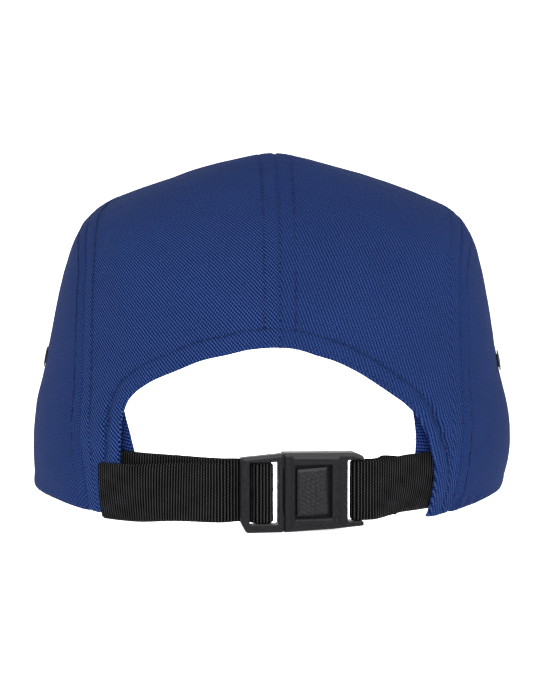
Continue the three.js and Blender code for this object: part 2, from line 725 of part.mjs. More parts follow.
function barPlate({ from, to, front, back }) {
  return plate(box(from, to, SLOT_HALF + BAR_ROOT), [], front, back);
}

function softPlate({ from, to, half, cut }, front, back) {
  return plate(softBox(from, to, half, cut), [], front, back);
}

// The half with the tongue and its push button
function bucklePlug() {
  const outline = softBox(seam, PLUG_LENGTH, BUCKLE_HEIGHT / 2 - PLUG_MARGIN, PLUG_CUT);
  const frame = plate(outline, [box(SLOT_FROM, SLOT_TO, SLOT_HALF)], SHELL_FRONT, TONGUE.back);
  const tongue = softPlate(TONGUE, TONGUE.front, TONGUE.back);
  const button = softPlate(BUTTON, BUTTON.front, TONGUE.back);
  return geometryOf(frame.add(barPlate(MIDDLE_BAR)).add(tongue).add(button));
}

// The half with the window and the rear bar
function buckleSocket() {
  const half = BUCKLE_HEIGHT / 2;
  const through = SOCKET_DEPTH + FACE.thickness;
  const faceOutline = { ...FACE, half: half - FACE.margin };
  const body = plate(softBox(-SOCKET_LENGTH, -seam, half, SHELL_CUT), [], SHELL_FRONT, SOCKET_DEPTH - 1);
  const rearOpening = plate(box(-SOCKET_LENGTH - 1, LUGS_FROM, SLOT_HALF), [], -1, through);
  const face = softPlate(faceOutline, 0, FACE.thickness);
  const back = softPlate(faceOutline, SOCKET_DEPTH - SHELL_CUT, SOCKET_DEPTH);
  const window = softPlate(WINDOW, -1, POCKET.back);
  const pocket = plate(box(POCKET.from, POCKET.to, WINDOW.half), [], POCKET.front, POCKET.back);
  const mouth = plate(box(MOUTH.from, MOUTH.to, BUTTON.half), [], MOUTH.front, MOUTH.back);
  const shell = body.subtract(rearOpening).add(face).add(back);
  return geometryOf(shell.subtract(window).subtract(pocket).subtract(mouth).add(barPlate(REAR_BAR)));
}

const materials = {
  twill: new THREE.MeshStandardMaterial({ color: COLOURS.twill, roughness: 0.88, metalness: 0 }),
  band: new THREE.MeshStandardMaterial({ color: COLOURS.band, roughness: 0.9, metalness: 0 }),
  webbing: new THREE.MeshStandardMaterial({ color: COLOURS.webbing, roughness: 0.8, metalness: 0 }),
  plastic: new THREE.MeshStandardMaterial({ color: COLOURS.plastic, roughness: 0.42, metalness: 0 }),
  eyelet: new THREE.MeshStandardMaterial({ color: COLOURS.eyelet, roughness: 0.35, metalness: 0.9 }),
};
for (const [name, material] of Object.entries(materials)) material.name = name;

const cap = new THREE.Group();
cap.name = "five_panel_cap";

function addPiece(name, geometry, material) {
  const mesh = new THREE.Mesh(geometry, material);
  mesh.name = name;
  cap.add(mesh);
}

const sides = { left: 1, right: -1 };

addPiece("front_panel", frontPanel(), materials.twill);
for (const [word, side] of Object.entries(sides)) {
  addPiece(`side_panel_${word}`, sidePanel(side), materials.twill);
  addPiece(`top_panel_${word}`, topPanel(side), materials.twill);
  for (const [name, place] of Object.entries(EYELETS))
    addPiece(`eyelet_${word}_${name}`, eyelet(side, place), materials.eyelet);
}
addPiece("sweatband", sweatband(), materials.band);
addPiece("peak", peak(), materials.twill);
addPiece("strap_left", leftWebbing(), materials.webbing);
addPiece("strap_right", rightWebbing(), materials.webbing);
addPiece("buckle_plug", bucklePlug(), materials.plastic);
addPiece("buckle_socket", buckleSocket(), materials.plastic);

// The row's frame: centred over its box, resting on z = 0
const bounds = new THREE.Box3().setFromObject(cap, true);
const middle = bounds.getCenter(new THREE.Vector3());
for (const mesh of cap.children) mesh.geometry.translate(-middle.x, -middle.y, -bounds.min.z);

export default cap;
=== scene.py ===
"""Looks of the five panel cap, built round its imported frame. Lengths are metres in the row's frame."""

import math

import bmesh
import bpy
import numpy as np
from bpy.props import FloatProperty, FloatVectorProperty, IntProperty, PointerProperty
from mathutils import Matrix, Vector
from mathutils.bvhtree import BVHTree
from mathutils.geometry import tessellate_polygon


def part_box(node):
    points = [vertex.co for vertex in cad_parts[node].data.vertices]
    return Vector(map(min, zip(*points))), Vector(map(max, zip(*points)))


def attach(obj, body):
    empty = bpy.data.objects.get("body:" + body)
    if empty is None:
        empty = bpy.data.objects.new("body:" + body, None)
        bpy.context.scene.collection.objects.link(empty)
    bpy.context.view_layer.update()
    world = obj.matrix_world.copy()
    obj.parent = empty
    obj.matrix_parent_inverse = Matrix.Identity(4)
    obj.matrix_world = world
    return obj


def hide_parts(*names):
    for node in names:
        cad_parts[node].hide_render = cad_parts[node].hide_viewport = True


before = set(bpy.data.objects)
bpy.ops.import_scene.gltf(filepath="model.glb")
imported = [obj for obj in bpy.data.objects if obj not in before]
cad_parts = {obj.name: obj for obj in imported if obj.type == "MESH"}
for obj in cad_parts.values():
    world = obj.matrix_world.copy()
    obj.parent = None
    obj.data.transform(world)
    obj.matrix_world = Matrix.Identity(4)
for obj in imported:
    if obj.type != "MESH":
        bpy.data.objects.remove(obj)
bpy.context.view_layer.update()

bl_info = {
    "name": "Five panel cap",
    "version": (1, 0, 0),
    "blender": (4, 5, 0),
    "location": "3D View > Sidebar > Cap",
    "description": "Builds a soft five panel cap with its strap and buckle, and a stage to show it on",
    "category": "Object",
}

MM = 0.001
SIDES = {"left": 1, "right": -1}

# The crown's profile from the top (along 0) to the rim (along 1), as shares of the reach and the height
PROFILE_COLUMNS = ("along", "side_out", "side_up", "front_out", "front_up", "back_out", "back_up")
PROFILE = np.array([
    (0.00, 0.0000, 1.000, 0.000, 1.000, 0.0000, 1.000),
    (0.05, 0.0775, 0.992, 0.069, 0.995, 0.0675, 0.993),
    (0.16, 0.2380, 0.961, 0.216, 0.976, 0.2120, 0.965),
    (0.29, 0.4580, 0.910, 0.424, 0.940, 0.4020, 0.906),
    (0.395, 0.650, 0.858, 0.610, 0.892, 0.5800, 0.822),
    (0.447, 0.748, 0.823, 0.704, 0.852, 0.6600, 0.766),
    (0.50, 0.8120, 0.768, 0.780, 0.792, 0.7300, 0.705),
    (0.58, 0.8640, 0.670, 0.860, 0.685, 0.8150, 0.600),
    (0.68, 0.9120, 0.508, 0.928, 0.535, 0.8950, 0.460),
    (0.78, 0.9520, 0.352, 0.970, 0.385, 0.9500, 0.325),
    (0.84, 0.9860, 0.254, 0.988, 0.290, 0.9750, 0.237),
    (0.92, 0.9980, 0.127, 1.000, 0.170, 0.9950, 0.119),
    (1.00, 0.9820, 0.000, 1.000, 0.068, 1.0000, 0.000),
])

# Seam and edge lines: share of the way to the rim, degrees from the wearer's left towards the back, and
# the skew in degrees that is added on the wearer's right and taken off on the left
SIDE_SEAM = (
    (1.00, 46.8, 1.6), (0.92, 46.9, 1.8), (0.86, 45.8, 2.1), (0.78, 44.5, 2.3), (0.68, 42.1, 2.6),
    (0.61, 38.9, 2.8), (0.54, 34.0, 2.8), (0.496, 26.5, 2.4), (0.465, 12.0, 1.5), (0.45, -10.0, 0.8),
    (0.44, -36.0, 0.0),
)
FRONT_SEAM_SIDE = ((1.0, -28.0, 0), (0.8, -29.5, 0), (0.62, -31.5, 0), (0.5, -34.0, 0), (0.44, -36.0, 0))
FRONT_SEAM_TOP = ((0.44, -36.0, 0), (0.415, -47.9, 0), (0.3945, -64.6, 0), (0.385, -90.0, 0))
ARCH = (
    (0.661, 90.0, 0.0), (0.665, 84.7, 1.5), (0.677, 80.0, 2.0), (0.69, 75.4, 2.5), (0.713, 70.6, 2.8),
    (0.748, 64.4, 3.8), (0.765, 62.0, 3.8), (0.785, 59.7, 3.3), (0.815, 57.8, 2.2), (0.86, 56.9, 1.1),
    (0.90, 56.3, 0.4), (0.97, 55.9, 0.0), (1.0, 55.8, -0.1),
)
BAND_END = ((0.985, 60.0, 0.7), (0.90, 59.4, 0.8), (0.85, 58.3, 1.4), (0.80, 57.1, 2.8))
EYELETS = {"rear": (0.755, 10.8, 5.2), "front": (0.755, -7.5, 4.0)}
EYELET_HOLE = 2.5 * MM
PLAN_POWER = 2.12
TOP_POWER = 2.62
RIM_START = 0.9
RIM_ROUNDING = 0.18
DROOP_FROM = 0.45
DROOP_TO = 0.8
SEAM_SPLIT = 0.5
ARCH_BEND = 0.63
STRIP_SHARE = 5 / 26
HEM_EDGE = 1.5 * MM
BEND_SHARE = 10 / 14

# Rough lengths of the sheets along and up them, and down the top panel's strip, which set their cell counts
FRONT_SHEET = (0.205, 0.115)
SIDE_SHEET = (0.1, 0.1)
TOP_SHEET = (0.098, 0.165, 0.036)

# Cells along and across the peak and the sweatband
PEAK_GRID = (220, 70)
BAND_GRID = (420, 34)

# Camera: turned from straight behind, raised, its distance from the middle of the rim, how far its axis
# passes above that, and its field in pixels
CAMERA_TURN = math.radians(1.9)
CAMERA_RISE = math.radians(6.0)
CAMERA_DISTANCE = 1.16
CAMERA_LIFT = 0.049
CAMERA_FOCUS_PX = 3222
FRAME_LONG_PX = 690
SENSOR = 36.0


def length(label, default, description):
    return FloatProperty(name=label, default=default, unit="LENGTH", precision=5, description=description)


def colour(label, default, description):
    return FloatVectorProperty(
        name=label, default=default, size=3, subtype="COLOR", min=0, max=1, description=description
    )


class CapSizes(bpy.types.PropertyGroup):
    half_width: length("Half width", 0.0852, "From the middle to the widest side of the crown")
    front_reach: length("Front reach", 0.100, "From the middle to the front of the crown")
    back_reach: length("Back reach", 0.097, "From the middle to the back of the crown")
    crown_height: length("Crown height", 0.118, "From the rim to the top")
    crown_lean: length("Crown lean", 0.0012, "How far the top leans to the wearer's right")
    rim_shift: length("Rim shift", 0.001, "How far the rim stands to the wearer's left")
    rim_droop_left: length("Rim droop, left", 0.0007, "How far the rim hangs by the opening")
    rim_droop_right: length("Rim droop, right", 0.0015, "How far the rim hangs by the opening")
    wall: length("Wall", 0.0015, "Thickness of the cloth with its seam allowance")
    gap: length("Gap", 0.0003, "Clearance between pieces that touch")
    hem_width: length("Hem width", 0.0065, "Width of the turned hem round the arch")
    topstitch: length("Topstitch", 0.0053, "Distance of the topstitching from a seam")
    stitch_pitch: length("Stitch pitch", 0.0028, "Length of one stitch with its gap")
    thread: length("Thread", 0.0004, "Thickness of the sewing thread")
    band_thickness: length("Band thickness", 0.001, "Thickness of the sweatband")
    peak_half_width: length("Peak half width", 0.084, "From the middle to the widest side of the peak")
    peak_reach: length("Peak reach", 0.107, "From the widest place of the peak to its front")
    peak_lobe: length("Peak lobe", 0.020, "How far the peak's rounded ends reach back")
    peak_centre: length("Peak centre", 0.060, "How far in front of the middle the peak is widest")
    peak_thickness: length("Peak thickness", 0.0025, "Board and cloth together")
    strap_width: length("Strap width", 0.020, "Width of the webbing")
    strap_thickness: length("Strap thickness", 0.0012, "Thickness of the webbing")
    strap_room: length("Strap room", 0.0005, "Room between the crown's wall and the hidden webbing")
    rib_pitch: length("Rib pitch", 0.00102, "Distance between the webbing's ribs")
    buckle_level: length("Buckle level", 0.0108, "Height of the buckle's middle over the rim")
    buckle_height: length("Buckle height", 0.0264, "Height of the buckle across the strap")
    buckle_x: length("Buckle place across", -0.0011, "Where the buckle's halves meet, across")
    buckle_y: length("Buckle place back", 0.101, "Where the buckle's outer face is, towards the back")
    fixed_height: length("Fixed webbing height", 0.012, "Middle of the sewn webbing on the wearer's left")
    tail_height: length("Tail height", 0.0078, "Middle of the free tail at its end")
    right_height: length("Right webbing height", 0.0112, "Middle of the sewn webbing on the wearer's right")
    rear_height: length("Rear layer height", 0.0109, "Middle of the looped layer on the wearer's right")
    cloth_cell: length("Cloth cell", 0.00085, "Size of one cell of the cloth meshes")
    stitch_sides: IntProperty(name="Stitch sides", default=6, min=4, description="Sides of one stitch")


class CapColours(bpy.types.PropertyGroup):
    cloth: colour("Cloth", (0.028, 0.059, 0.161), "Light yarn of the twill")
    cloth_deep: colour("Cloth, deep", (0.0004, 0.004, 0.048), "Dark yarn of the twill")
    band: colour("Band", (0.021, 0.044, 0.145), "Sweatband cloth")
    inside: colour("Inside", (0.90, 0.90, 0.89), "Pale cotton on the inner faces")
    # The thread is the cloth's own blue made a little darker: painted shade of the grooves the stitches lie
    # in.
    thread: colour("Thread", (0.008, 0.018, 0.062), "Sewing thread")
    webbing: colour("Webbing", (0.047, 0.047, 0.05), "Light yarn of the webbing")
    webbing_deep: colour("Webbing, deep", (0.0003, 0.0003, 0.0003), "Shade between the webbing's ribs")
    plastic: colour("Plastic", (0.0095, 0.0095, 0.0108), "Moulded buckle")
    eyelet: colour("Eyelet", (0.004, 0.004, 0.0045), "Enamelled eyelets")
    floor: colour("Floor", (0.93, 0.93, 0.93), "Plain floor")


# Crown surface


def smooth_rows(xs, ys, x):
    """A smooth curve through the rows, with slopes taken from the neighbours."""
    xs, ys, x = np.asarray(xs, float), np.asarray(ys, float), np.asarray(x, float)
    gaps = np.diff(xs)
    slopes = np.diff(ys) / gaps
    tangents = np.empty(len(xs))
    tangents[0], tangents[-1] = slopes[0], slopes[-1]
    tangents[1:-1] = (slopes[:-1] * gaps[1:] + slopes[1:] * gaps[:-1]) / (gaps[1:] + gaps[:-1])
    i = np.clip(np.searchsorted(xs, x, side="left") - 1, 0, len(xs) - 2)
    t = (x - xs[i]) / gaps[i]
    start = ((2 * t - 3) * t * t + 1) * ys[i] + ((t - 2) * t + 1) * t * gaps[i] * tangents[i]
    end = (3 - 2 * t) * t * t * ys[i + 1] + (t - 1) * t * t * gaps[i] * tangents[i + 1]
    return start + end


def profile(name, along):
    return smooth_rows(PROFILE[:, 0], PROFILE[:, PROFILE_COLUMNS.index(name)], along)


def cap_origin(s):
    """The middle of the rim's plane in the row's frame, read from the peak and the buckle."""
    low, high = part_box("peak")
    return np.array([
        (low.x + high.x) / 2,
        low.y + s.peak_centre + s.peak_reach,
        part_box("buckle_socket")[0].z + s.buckle_height / 2 - s.buckle_level,
    ])


def crown_point(s, flat):
    """Points of the outer surface over the unit disk: x to the wearer's left, y to the back."""
    flat = np.asarray(flat, float)
    along = np.hypot(flat[..., 0], flat[..., 1])
    safe = np.maximum(along, 1e-9)
    across = np.where(along > 1e-9, flat[..., 0] / safe, 1.0)
    back = np.where(along > 1e-9, flat[..., 1] / safe, 0.0)
    to_back = back >= 0
    side_reach = np.maximum(profile("side_out", along) * s.half_width, 1e-9)
    end_reach = np.where(
        to_back, profile("back_out", along) * s.back_reach, profile("front_out", along) * s.front_reach
    )
    end_reach = np.maximum(end_reach, 1e-9)
    end_up = np.where(to_back, profile("back_up", along), profile("front_up", along))
    near_rim = np.maximum(0, (along - RIM_START) / (1 - RIM_START)) ** 2
    near_top = np.minimum(1, (1 - along) * 2)
    power = PLAN_POWER + (TOP_POWER - PLAN_POWER) * near_top - RIM_ROUNDING * near_rim * to_back
    total = np.abs(across / side_reach) ** power + np.abs(back / end_reach) ** power
    radius = total ** (-1 / power)
    z = (profile("side_up", along) * across**2 + end_up * back**2) * s.crown_height
    lean = s.crown_lean * np.maximum(0, z / s.crown_height) ** 2
    droop = np.where(across > 0, s.rim_droop_left, s.rim_droop_right)
    z = z - droop * near_rim * step_between(back, DROOP_FROM, DROOP_TO)
    return np.stack([radius * across - lean + s.rim_shift * near_rim, radius * back, z], -1)


def crown_slopes(s, flat):
    step = 2e-3
    east, north = np.array([step, 0]), np.array([0, step])
    along_x = (crown_point(s, flat + east) - crown_point(s, flat - east)) / (2 * step)
    along_y = (crown_point(s, flat + north) - crown_point(s, flat - north)) / (2 * step)
    return along_x, along_y


def unit(vectors):
    return vectors / np.maximum(np.linalg.norm(vectors, axis=-1, keepdims=True), 1e-12)


def crown_normal(s, flat):
    along_x, along_y = crown_slopes(s, flat)
    return unit(np.cross(along_x, along_y))


def flat_point(side, degrees, along):
    angle = np.radians(np.asarray(degrees, float))
    return np.stack([side * np.cos(angle) * along, np.sin(angle) * along], -1)


def flat_line(points):
    """A function from 0 to 1 along a smooth line through points of the disk."""
    points = np.asarray(points, float)
    lengths = np.r_[0, np.cumsum(np.hypot(*np.diff(points, axis=0).T))]

    def at(t):
        place = np.asarray(t, float) * lengths[-1]
        return np.stack([smooth_rows(lengths, points[:, axis], place) for axis in (0, 1)], -1)

    return at


def table_line(rows, side):
    return flat_line([flat_point(side, angle - side * skew, along) for along, angle, skew in rows])


def table_angle(row, side):
    return row[1] - side * row[2]


def patch(foot, head, start, end):
    """A patch of the disk between four edge lines: foot and head run along u, start and end along v."""
    a, b, c, d = foot(0.0), foot(1.0), head(0.0), head(1.0)

    def at(u, v):
        wide, tall = np.asarray(u, float)[..., None], np.asarray(v, float)[..., None]
        corners = (
            (1 - wide) * (1 - tall) * a + wide * (1 - tall) * b + (1 - wide) * tall * c + wide * tall * d
        )
        return (1 - tall) * foot(u) + tall * head(u) + (1 - wide) * start(v) + wide * end(v) - corners

    return at


def two_lines(first, second, share):
    """One line that follows first up to a share of its way, and second after it."""

    def at(u):
        u = np.asarray(u, float)
        early = first(np.clip(u / share, 0, 1))
        late = second(np.clip((u - share) / (1 - share), 0, 1))
        return np.where((u <= share)[..., None], early, late)

    return at


def straight(a, b):
    return lambda t: a + (b - a) * np.asarray(t, float)[..., None]


def rim_line(side, from_degrees, to_degrees, along=1.0):
    turn = to_degrees - from_degrees
    return lambda t: flat_point(side, from_degrees + turn * np.asarray(t, float), along)


def centre_line(side):
    return flat_line([flat_point(side, -90, FRONT_SEAM_TOP[-1][0]), (0, 0), flat_point(side, 90, ARCH[0][0])])


def spread(count, pull=0.45):
    """Shares from 0 to 1 that lie closer together near both ends."""
    t = np.linspace(0, 1, count + 1)
    return t - pull * np.sin(2 * np.pi * t) / (2 * np.pi)


def index_quads(index):
    """The quads between the rows and columns of a grid of vertex numbers."""
    return np.stack([index[:-1, :-1], index[:-1, 1:], index[1:, 1:], index[1:, :-1]], -1).reshape(-1, 4)


def grid_quads(columns, rows):
    return index_quads(np.arange((columns + 1) * (rows + 1)).reshape(rows + 1, columns + 1))


def run_lengths(line):
    """How far along a line of points each of them lies."""
    return np.r_[0, np.cumsum(np.linalg.norm(np.diff(line, axis=0), axis=1))]


def lengths_along(points, axis):
    steps = np.linalg.norm(np.diff(points, axis=axis), axis=-1)
    shape = list(points.shape[:2])
    shape[axis] = 1
    return np.concatenate([np.zeros(shape), np.cumsum(steps, axis=axis)], axis=axis)


def cells_across(s, lengths):
    return [int(size / s.cloth_cell) for size in lengths]


def sheet_cells(area, columns, rows):
    """A patch as disk points and quads."""
    u, v = np.meshgrid(spread(columns), spread(rows))
    return area(u, v).reshape(-1, 2), grid_quads(columns, rows)


def front_panel_cells(s):
    start, end = table_line(FRONT_SEAM_SIDE, 1), table_line(FRONT_SEAM_SIDE, -1)
    left, right = table_line(FRONT_SEAM_TOP, 1), table_line(FRONT_SEAM_TOP, -1)
    degrees = FRONT_SEAM_SIDE[0][1]
    area = patch(
        rim_line(1, degrees, -180 - degrees),
        two_lines(left, lambda t: right(1 - t), 0.5),
        start,
        end,
    )
    return sheet_cells(area, *cells_across(s, FRONT_SHEET))


def side_panel_cells(s, side):
    seam = table_line(SIDE_SEAM, side)
    area = patch(
        rim_line(side, FRONT_SEAM_SIDE[0][1], table_angle(SIDE_SEAM[0], side)),
        lambda u: seam(1 - (1 - SEAM_SPLIT) * np.asarray(u)),
        table_line(FRONT_SEAM_SIDE, side),
        lambda v: seam(SEAM_SPLIT * np.asarray(v)),
    )
    return sheet_cells(area, *cells_across(s, SIDE_SHEET))


def top_panel_cells(s, side):
    """The panel's main area, with the strip past the bend of the arch hung on the end of its last row."""
    seam, arch = table_line(SIDE_SEAM, side), table_line(ARCH, side)
    front = table_line(FRONT_SEAM_TOP, side)
    across = straight(arch(ARCH_BEND), seam(STRIP_SHARE))
    head = two_lines(lambda t: arch(ARCH_BEND * np.asarray(t)), across, BEND_SHARE)
    main = patch(
        lambda u: front(1 - np.asarray(u)),
        head,
        centre_line(side),
        lambda v: seam(1 - (1 - STRIP_SHARE) * np.asarray(v)),
    )
    strip = patch(
        across,
        rim_line(side, table_angle(ARCH[-1], side), table_angle(SIDE_SEAM[0], side)),
        lambda v: arch(ARCH_BEND + (1 - ARCH_BEND) * np.asarray(v)),
        lambda v: seam(STRIP_SHARE * (1 - np.asarray(v))),
    )
    columns, rows, strip_rows = cells_across(s, TOP_SHEET)
    shares = spread(columns, pull=0.3)
    bend = int(np.argmin(abs(shares - BEND_SHARE)))
    shares[bend] = BEND_SHARE
    u, v = np.meshgrid(shares, spread(rows))
    flats = main(u, v)
    strip_shares = (shares[bend:] - BEND_SHARE) / (1 - BEND_SHARE)
    u, v = np.meshgrid(strip_shares, np.linspace(0, 1, strip_rows + 1))
    strip_flats = strip(u, v)
    flats = flats.reshape(-1, 2)
    wide = len(strip_shares)
    index = np.empty((strip_rows + 1, wide), int)
    index[0] = len(flats) - wide + np.arange(wide)
    index[1:] = len(flats) + np.arange(strip_rows * wide).reshape(strip_rows, wide)
    return (
        np.concatenate([flats, strip_flats[1:].reshape(-1, 2)]),
        np.concatenate([grid_quads(columns, rows), index_quads(index)]),
    )


# Cloth relief

POINTS_AT_ONCE = 4000
SPINE_SAMPLES = 1600

# Where the rows of yarn turn level: the heights and the places to the back between which the change lies
LEVEL_HEIGHTS = (84 * MM, 104 * MM)
LEVEL_BACK = (5 * MM, 45 * MM)


def surface_line(s, at, count=500):
    return crown_point(s, at(np.linspace(0, 1, count)))


def near_line(points, line):
    """Distance from each point to a line of close samples, and how far along the line it lies."""
    lengths = run_lengths(line)
    ahead = unit(np.gradient(line, axis=0))
    distance, along = np.empty(len(points)), np.empty(len(points))
    for first in range(0, len(points), POINTS_AT_ONCE):
        chunk = slice(first, first + POINTS_AT_ONCE)
        part = points[chunk]
        square = (part**2).sum(1)[:, None] + (line**2).sum(1)[None] - 2 * part @ line.T
        nearest = square.argmin(1)
        reach = part - line[nearest]
        past = (reach * ahead[nearest]).sum(1)
        inside = (nearest > 0) & (nearest < len(line) - 1)
        past = np.where(inside, past, 0)
        distance[chunk] = np.linalg.norm(reach - ahead[nearest] * past[:, None], axis=1)
        along[chunk] = lengths[nearest] + past
    return distance, along


def grain(points, spine, across):
    """Weave coordinates in metres: across the spine along one axis, and along the spine."""
    in_plane = [axis for axis in range(3) if axis != across]
    inward, along = near_line(points[:, in_plane], spine[:, in_plane])
    if across == 0:
        # Down the back the rows of yarn run level
        back = spine[len(spine) // 2 :][::-1]
        lengths = run_lengths(spine)[len(spine) // 2 :][::-1]
        height = points[:, 2]
        level = (1 - step_between(height, *LEVEL_HEIGHTS)) * step_between(points[:, 1], *LEVEL_BACK)
        along = along + level * (np.interp(height, back[:, 2], lengths) - along)
        inward = inward + level * (abs(np.interp(height, back[:, 2], back[:, 1]) - points[:, 1]) - inward)
    width = np.sign(points[:, across]) * np.hypot(points[:, across], inward)
    return np.stack([width, along], -1)


def step_between(x, low, high):
    t = np.clip((x - low) / (high - low), 0, 1)
    return t * t * (3 - 2 * t)


def bell(x, middle, width):
    return np.exp(-(((x - middle) / width) ** 2))


def pucker(along, phase, pitch):
    """An uneven wave along a line of stitches."""
    wander = 0.9 * np.sin(along / (pitch * 0.61) + phase) + 0.7 * np.sin(along / (pitch * 1.37) + 2 * phase)
    return np.sin(2 * np.pi * along / pitch + wander)


def seam_relief(s, distance, along, phase):
    """A sewn seam: a narrow valley, the allowances' low ridge, and the topstitching's groove."""
    valley = -0.4 * MM * bell(distance, 0, 0.5 * MM)
    ridge = 0.15 * MM * step_between(distance, 0.3 * MM, 1.4 * MM)
    ridge *= 1 - step_between(distance, s.topstitch - 0.2 * MM, s.topstitch + 2.2 * MM)
    groove = -0.34 * MM * bell(distance, s.topstitch, 0.5 * MM)
    wave = 0.10 * MM * pucker(along, phase, 7.3 * MM) * bell(distance, s.topstitch, 3.5 * MM)
    return valley + ridge + groove + wave


def hem_relief(s, distance, along, height, phase):
    """A turned hem: raised to its stitch line, with the crease behind it and an edge stitch near the fold."""
    gathered = bell(height, 30 * MM, 11 * MM)
    raised = 0.42 * MM * (1 - step_between(distance, s.hem_width - 0.5 * MM, s.hem_width + 0.7 * MM))
    groove = -0.45 * MM * bell(distance, s.hem_width, 0.55 * MM)
    crease = -1.15 * MM * gathered * bell(distance, s.hem_width - 0.6 * MM, 1.3 * MM)
    shoulder = 0.5 * MM * gathered * bell(distance, s.hem_width - 3.4 * MM, 1.5 * MM)
    swell = 0.45 * MM * gathered * bell(distance, s.hem_width + 3.5 * MM, 2.2 * MM)
    edge_groove = -0.16 * MM * bell(distance, HEM_EDGE, 0.4 * MM)
    strength = 0.16 + 0.25 * gathered
    wave = strength * MM * pucker(along, phase, 8.6 * MM) * bell(distance, s.hem_width, 4 * MM)
    return raised + groove + crease + shoulder + swell + edge_groove + wave


def rim_relief(distance):
    return 0.25 * MM * (1 - step_between(distance, 2 * MM, 5 * MM))


def fold_round(distance, radius):
    """How far a skin turns in at a folded edge."""
    inside = np.clip(1 - distance / radius, 0, 1)
    return radius * (1 - np.sqrt(1 - inside**2))


def soft_waves(points):
    """Slow, shallow unevenness of hanging cloth."""
    x, y, z = (points / MM).T
    waves = np.sin(x / 13 + 0.7 * np.sin(z / 17)) * np.sin(z / 15 + y / 21 + 1.3)
    waves += 0.6 * np.sin(x / 7.5 - z / 9 + 2.1) * np.sin(y / 11 + 0.4)
    return 0.28 * MM * waves


def rough_cloth(points):
    """Small, uneven dimples all over, finer than the waves."""
    x, y, z = (points / MM).T
    fine = np.sin(x / 2.3 + 1.7 * np.sin(z / 3.1)) * np.sin(z / 2.6 + 1.3 * np.sin(y / 4.3) + x / 6.1)
    fine += np.sin(x / 4.9 - 1.1 * np.sin(y / 3.7) + z / 3.9)
    return 0.045 * MM * fine


def cloth_skins(s, flats, lines):
    """Outer and inner skins of a panel from its disk points and its edge lines, each (kind, line, phase)."""
    base = crown_point(s, flats)
    normal = crown_normal(s, flats)
    outer = soft_waves(base) + rough_cloth(base)
    inner = outer - s.wall
    for kind, line, phase in lines:
        distance, along = near_line(base, line)
        if kind == "seam":
            relief = seam_relief(s, distance, along, phase)
            outer += relief
            inner += 0.5 * relief + 0.2 * MM * bell(distance, 0, 2 * MM)
            continue
        relief = hem_relief(s, distance, along, base[:, 2], phase) if kind == "hem" else rim_relief(distance)
        radius = (s.wall + np.maximum(relief, 0)) / 2
        outer += relief - fold_round(distance, radius)
        inner += fold_round(distance, radius)
    inner = np.minimum(inner, outer - 0.25 * MM)
    return base + normal * outer[:, None], base + normal * inner[:, None]


def panel_lines(s):
    """Every seam and edge of the crown as close samples on its surface, by name."""
    lines = {"centre": surface_line(s, centre_line(1))}
    degrees = FRONT_SEAM_SIDE[0][1]
    lines["front_rim"] = surface_line(s, rim_line(1, degrees, -180 - degrees))
    for word, side in SIDES.items():
        lines[f"side_{word}"] = surface_line(s, table_line(SIDE_SEAM, side))
        lines[f"front_side_{word}"] = surface_line(s, table_line(FRONT_SEAM_SIDE, side))
        lines[f"front_top_{word}"] = surface_line(s, table_line(FRONT_SEAM_TOP, side))
        lines[f"arch_{word}"] = surface_line(s, table_line(ARCH, side))
        start, end = table_angle(SIDE_SEAM[0], side), table_angle(ARCH[-1], side)
        lines[f"side_rim_{word}"] = surface_line(s, rim_line(side, degrees, start))
        lines[f"back_rim_{word}"] = surface_line(s, rim_line(side, start, end))
    return lines


# Mesh making


def open_edges(quads):
    """The quads' directed edges that no other quad shares, in the quads' own direction."""
    edges = np.concatenate([quads[:, [0, 1]], quads[:, [1, 2]], quads[:, [2, 3]], quads[:, [3, 0]]])
    size = quads.max() + 1
    codes = edges[:, 0] * size + edges[:, 1]
    return edges[~np.isin(codes, edges[:, 1] * size + edges[:, 0])]


def closed_skin(outer, inner, quads):
    """Vertices and quads of a solid between two skins, turned so that its faces point out."""
    half = len(outer)
    edges = open_edges(quads)
    walls = np.stack([edges[:, 1], edges[:, 0], edges[:, 0] + half, edges[:, 1] + half], -1)
    faces = np.concatenate([quads, quads[:, ::-1] + half, walls])
    a, b, c = outer[quads[:, 0]], outer[quads[:, 1]], outer[quads[:, 2]]
    facing = np.cross(b - a, c - a)
    if (facing * (outer - inner)[quads[:, 0]]).sum() < 0:
        faces = faces[:, ::-1]
    return np.concatenate([outer, inner]), faces


def make_object(
    name, points, faces, material, weave=None, sharp_degrees=50.0, node=None, inside=None
):
    """A smooth mesh in the row's frame that rides on the frame and stands for a node of it.

    inside is a second material with the number of the first face that has it.
    """
    mesh = bpy.data.meshes.new(name)
    mesh.from_pydata(np.asarray(points).tolist(), [], [list(map(int, f)) for f in faces])
    mesh.shade_smooth()
    mesh.set_sharp_from_angle(angle=math.radians(sharp_degrees))
    if weave is not None:
        corners = np.empty(len(mesh.loops), int)
        mesh.loops.foreach_get("vertex_index", corners)
        layer = mesh.uv_layers.new(name="weave")
        layer.data.foreach_set("uv", np.asarray(weave)[corners].astype(np.float32).ravel())
    mesh.materials.append(material)
    if inside:
        second, first = inside
        mesh.materials.append(second)
        index = np.zeros(len(faces), np.int32)
        index[first:] = 1
        mesh.polygons.foreach_set("material_index", index)
    made = bpy.data.objects.new(name, mesh)
    bpy.context.scene.collection.objects.link(made)
    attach(made, "root")
    if node:
        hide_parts(node)
    return made


# Node groups and materials


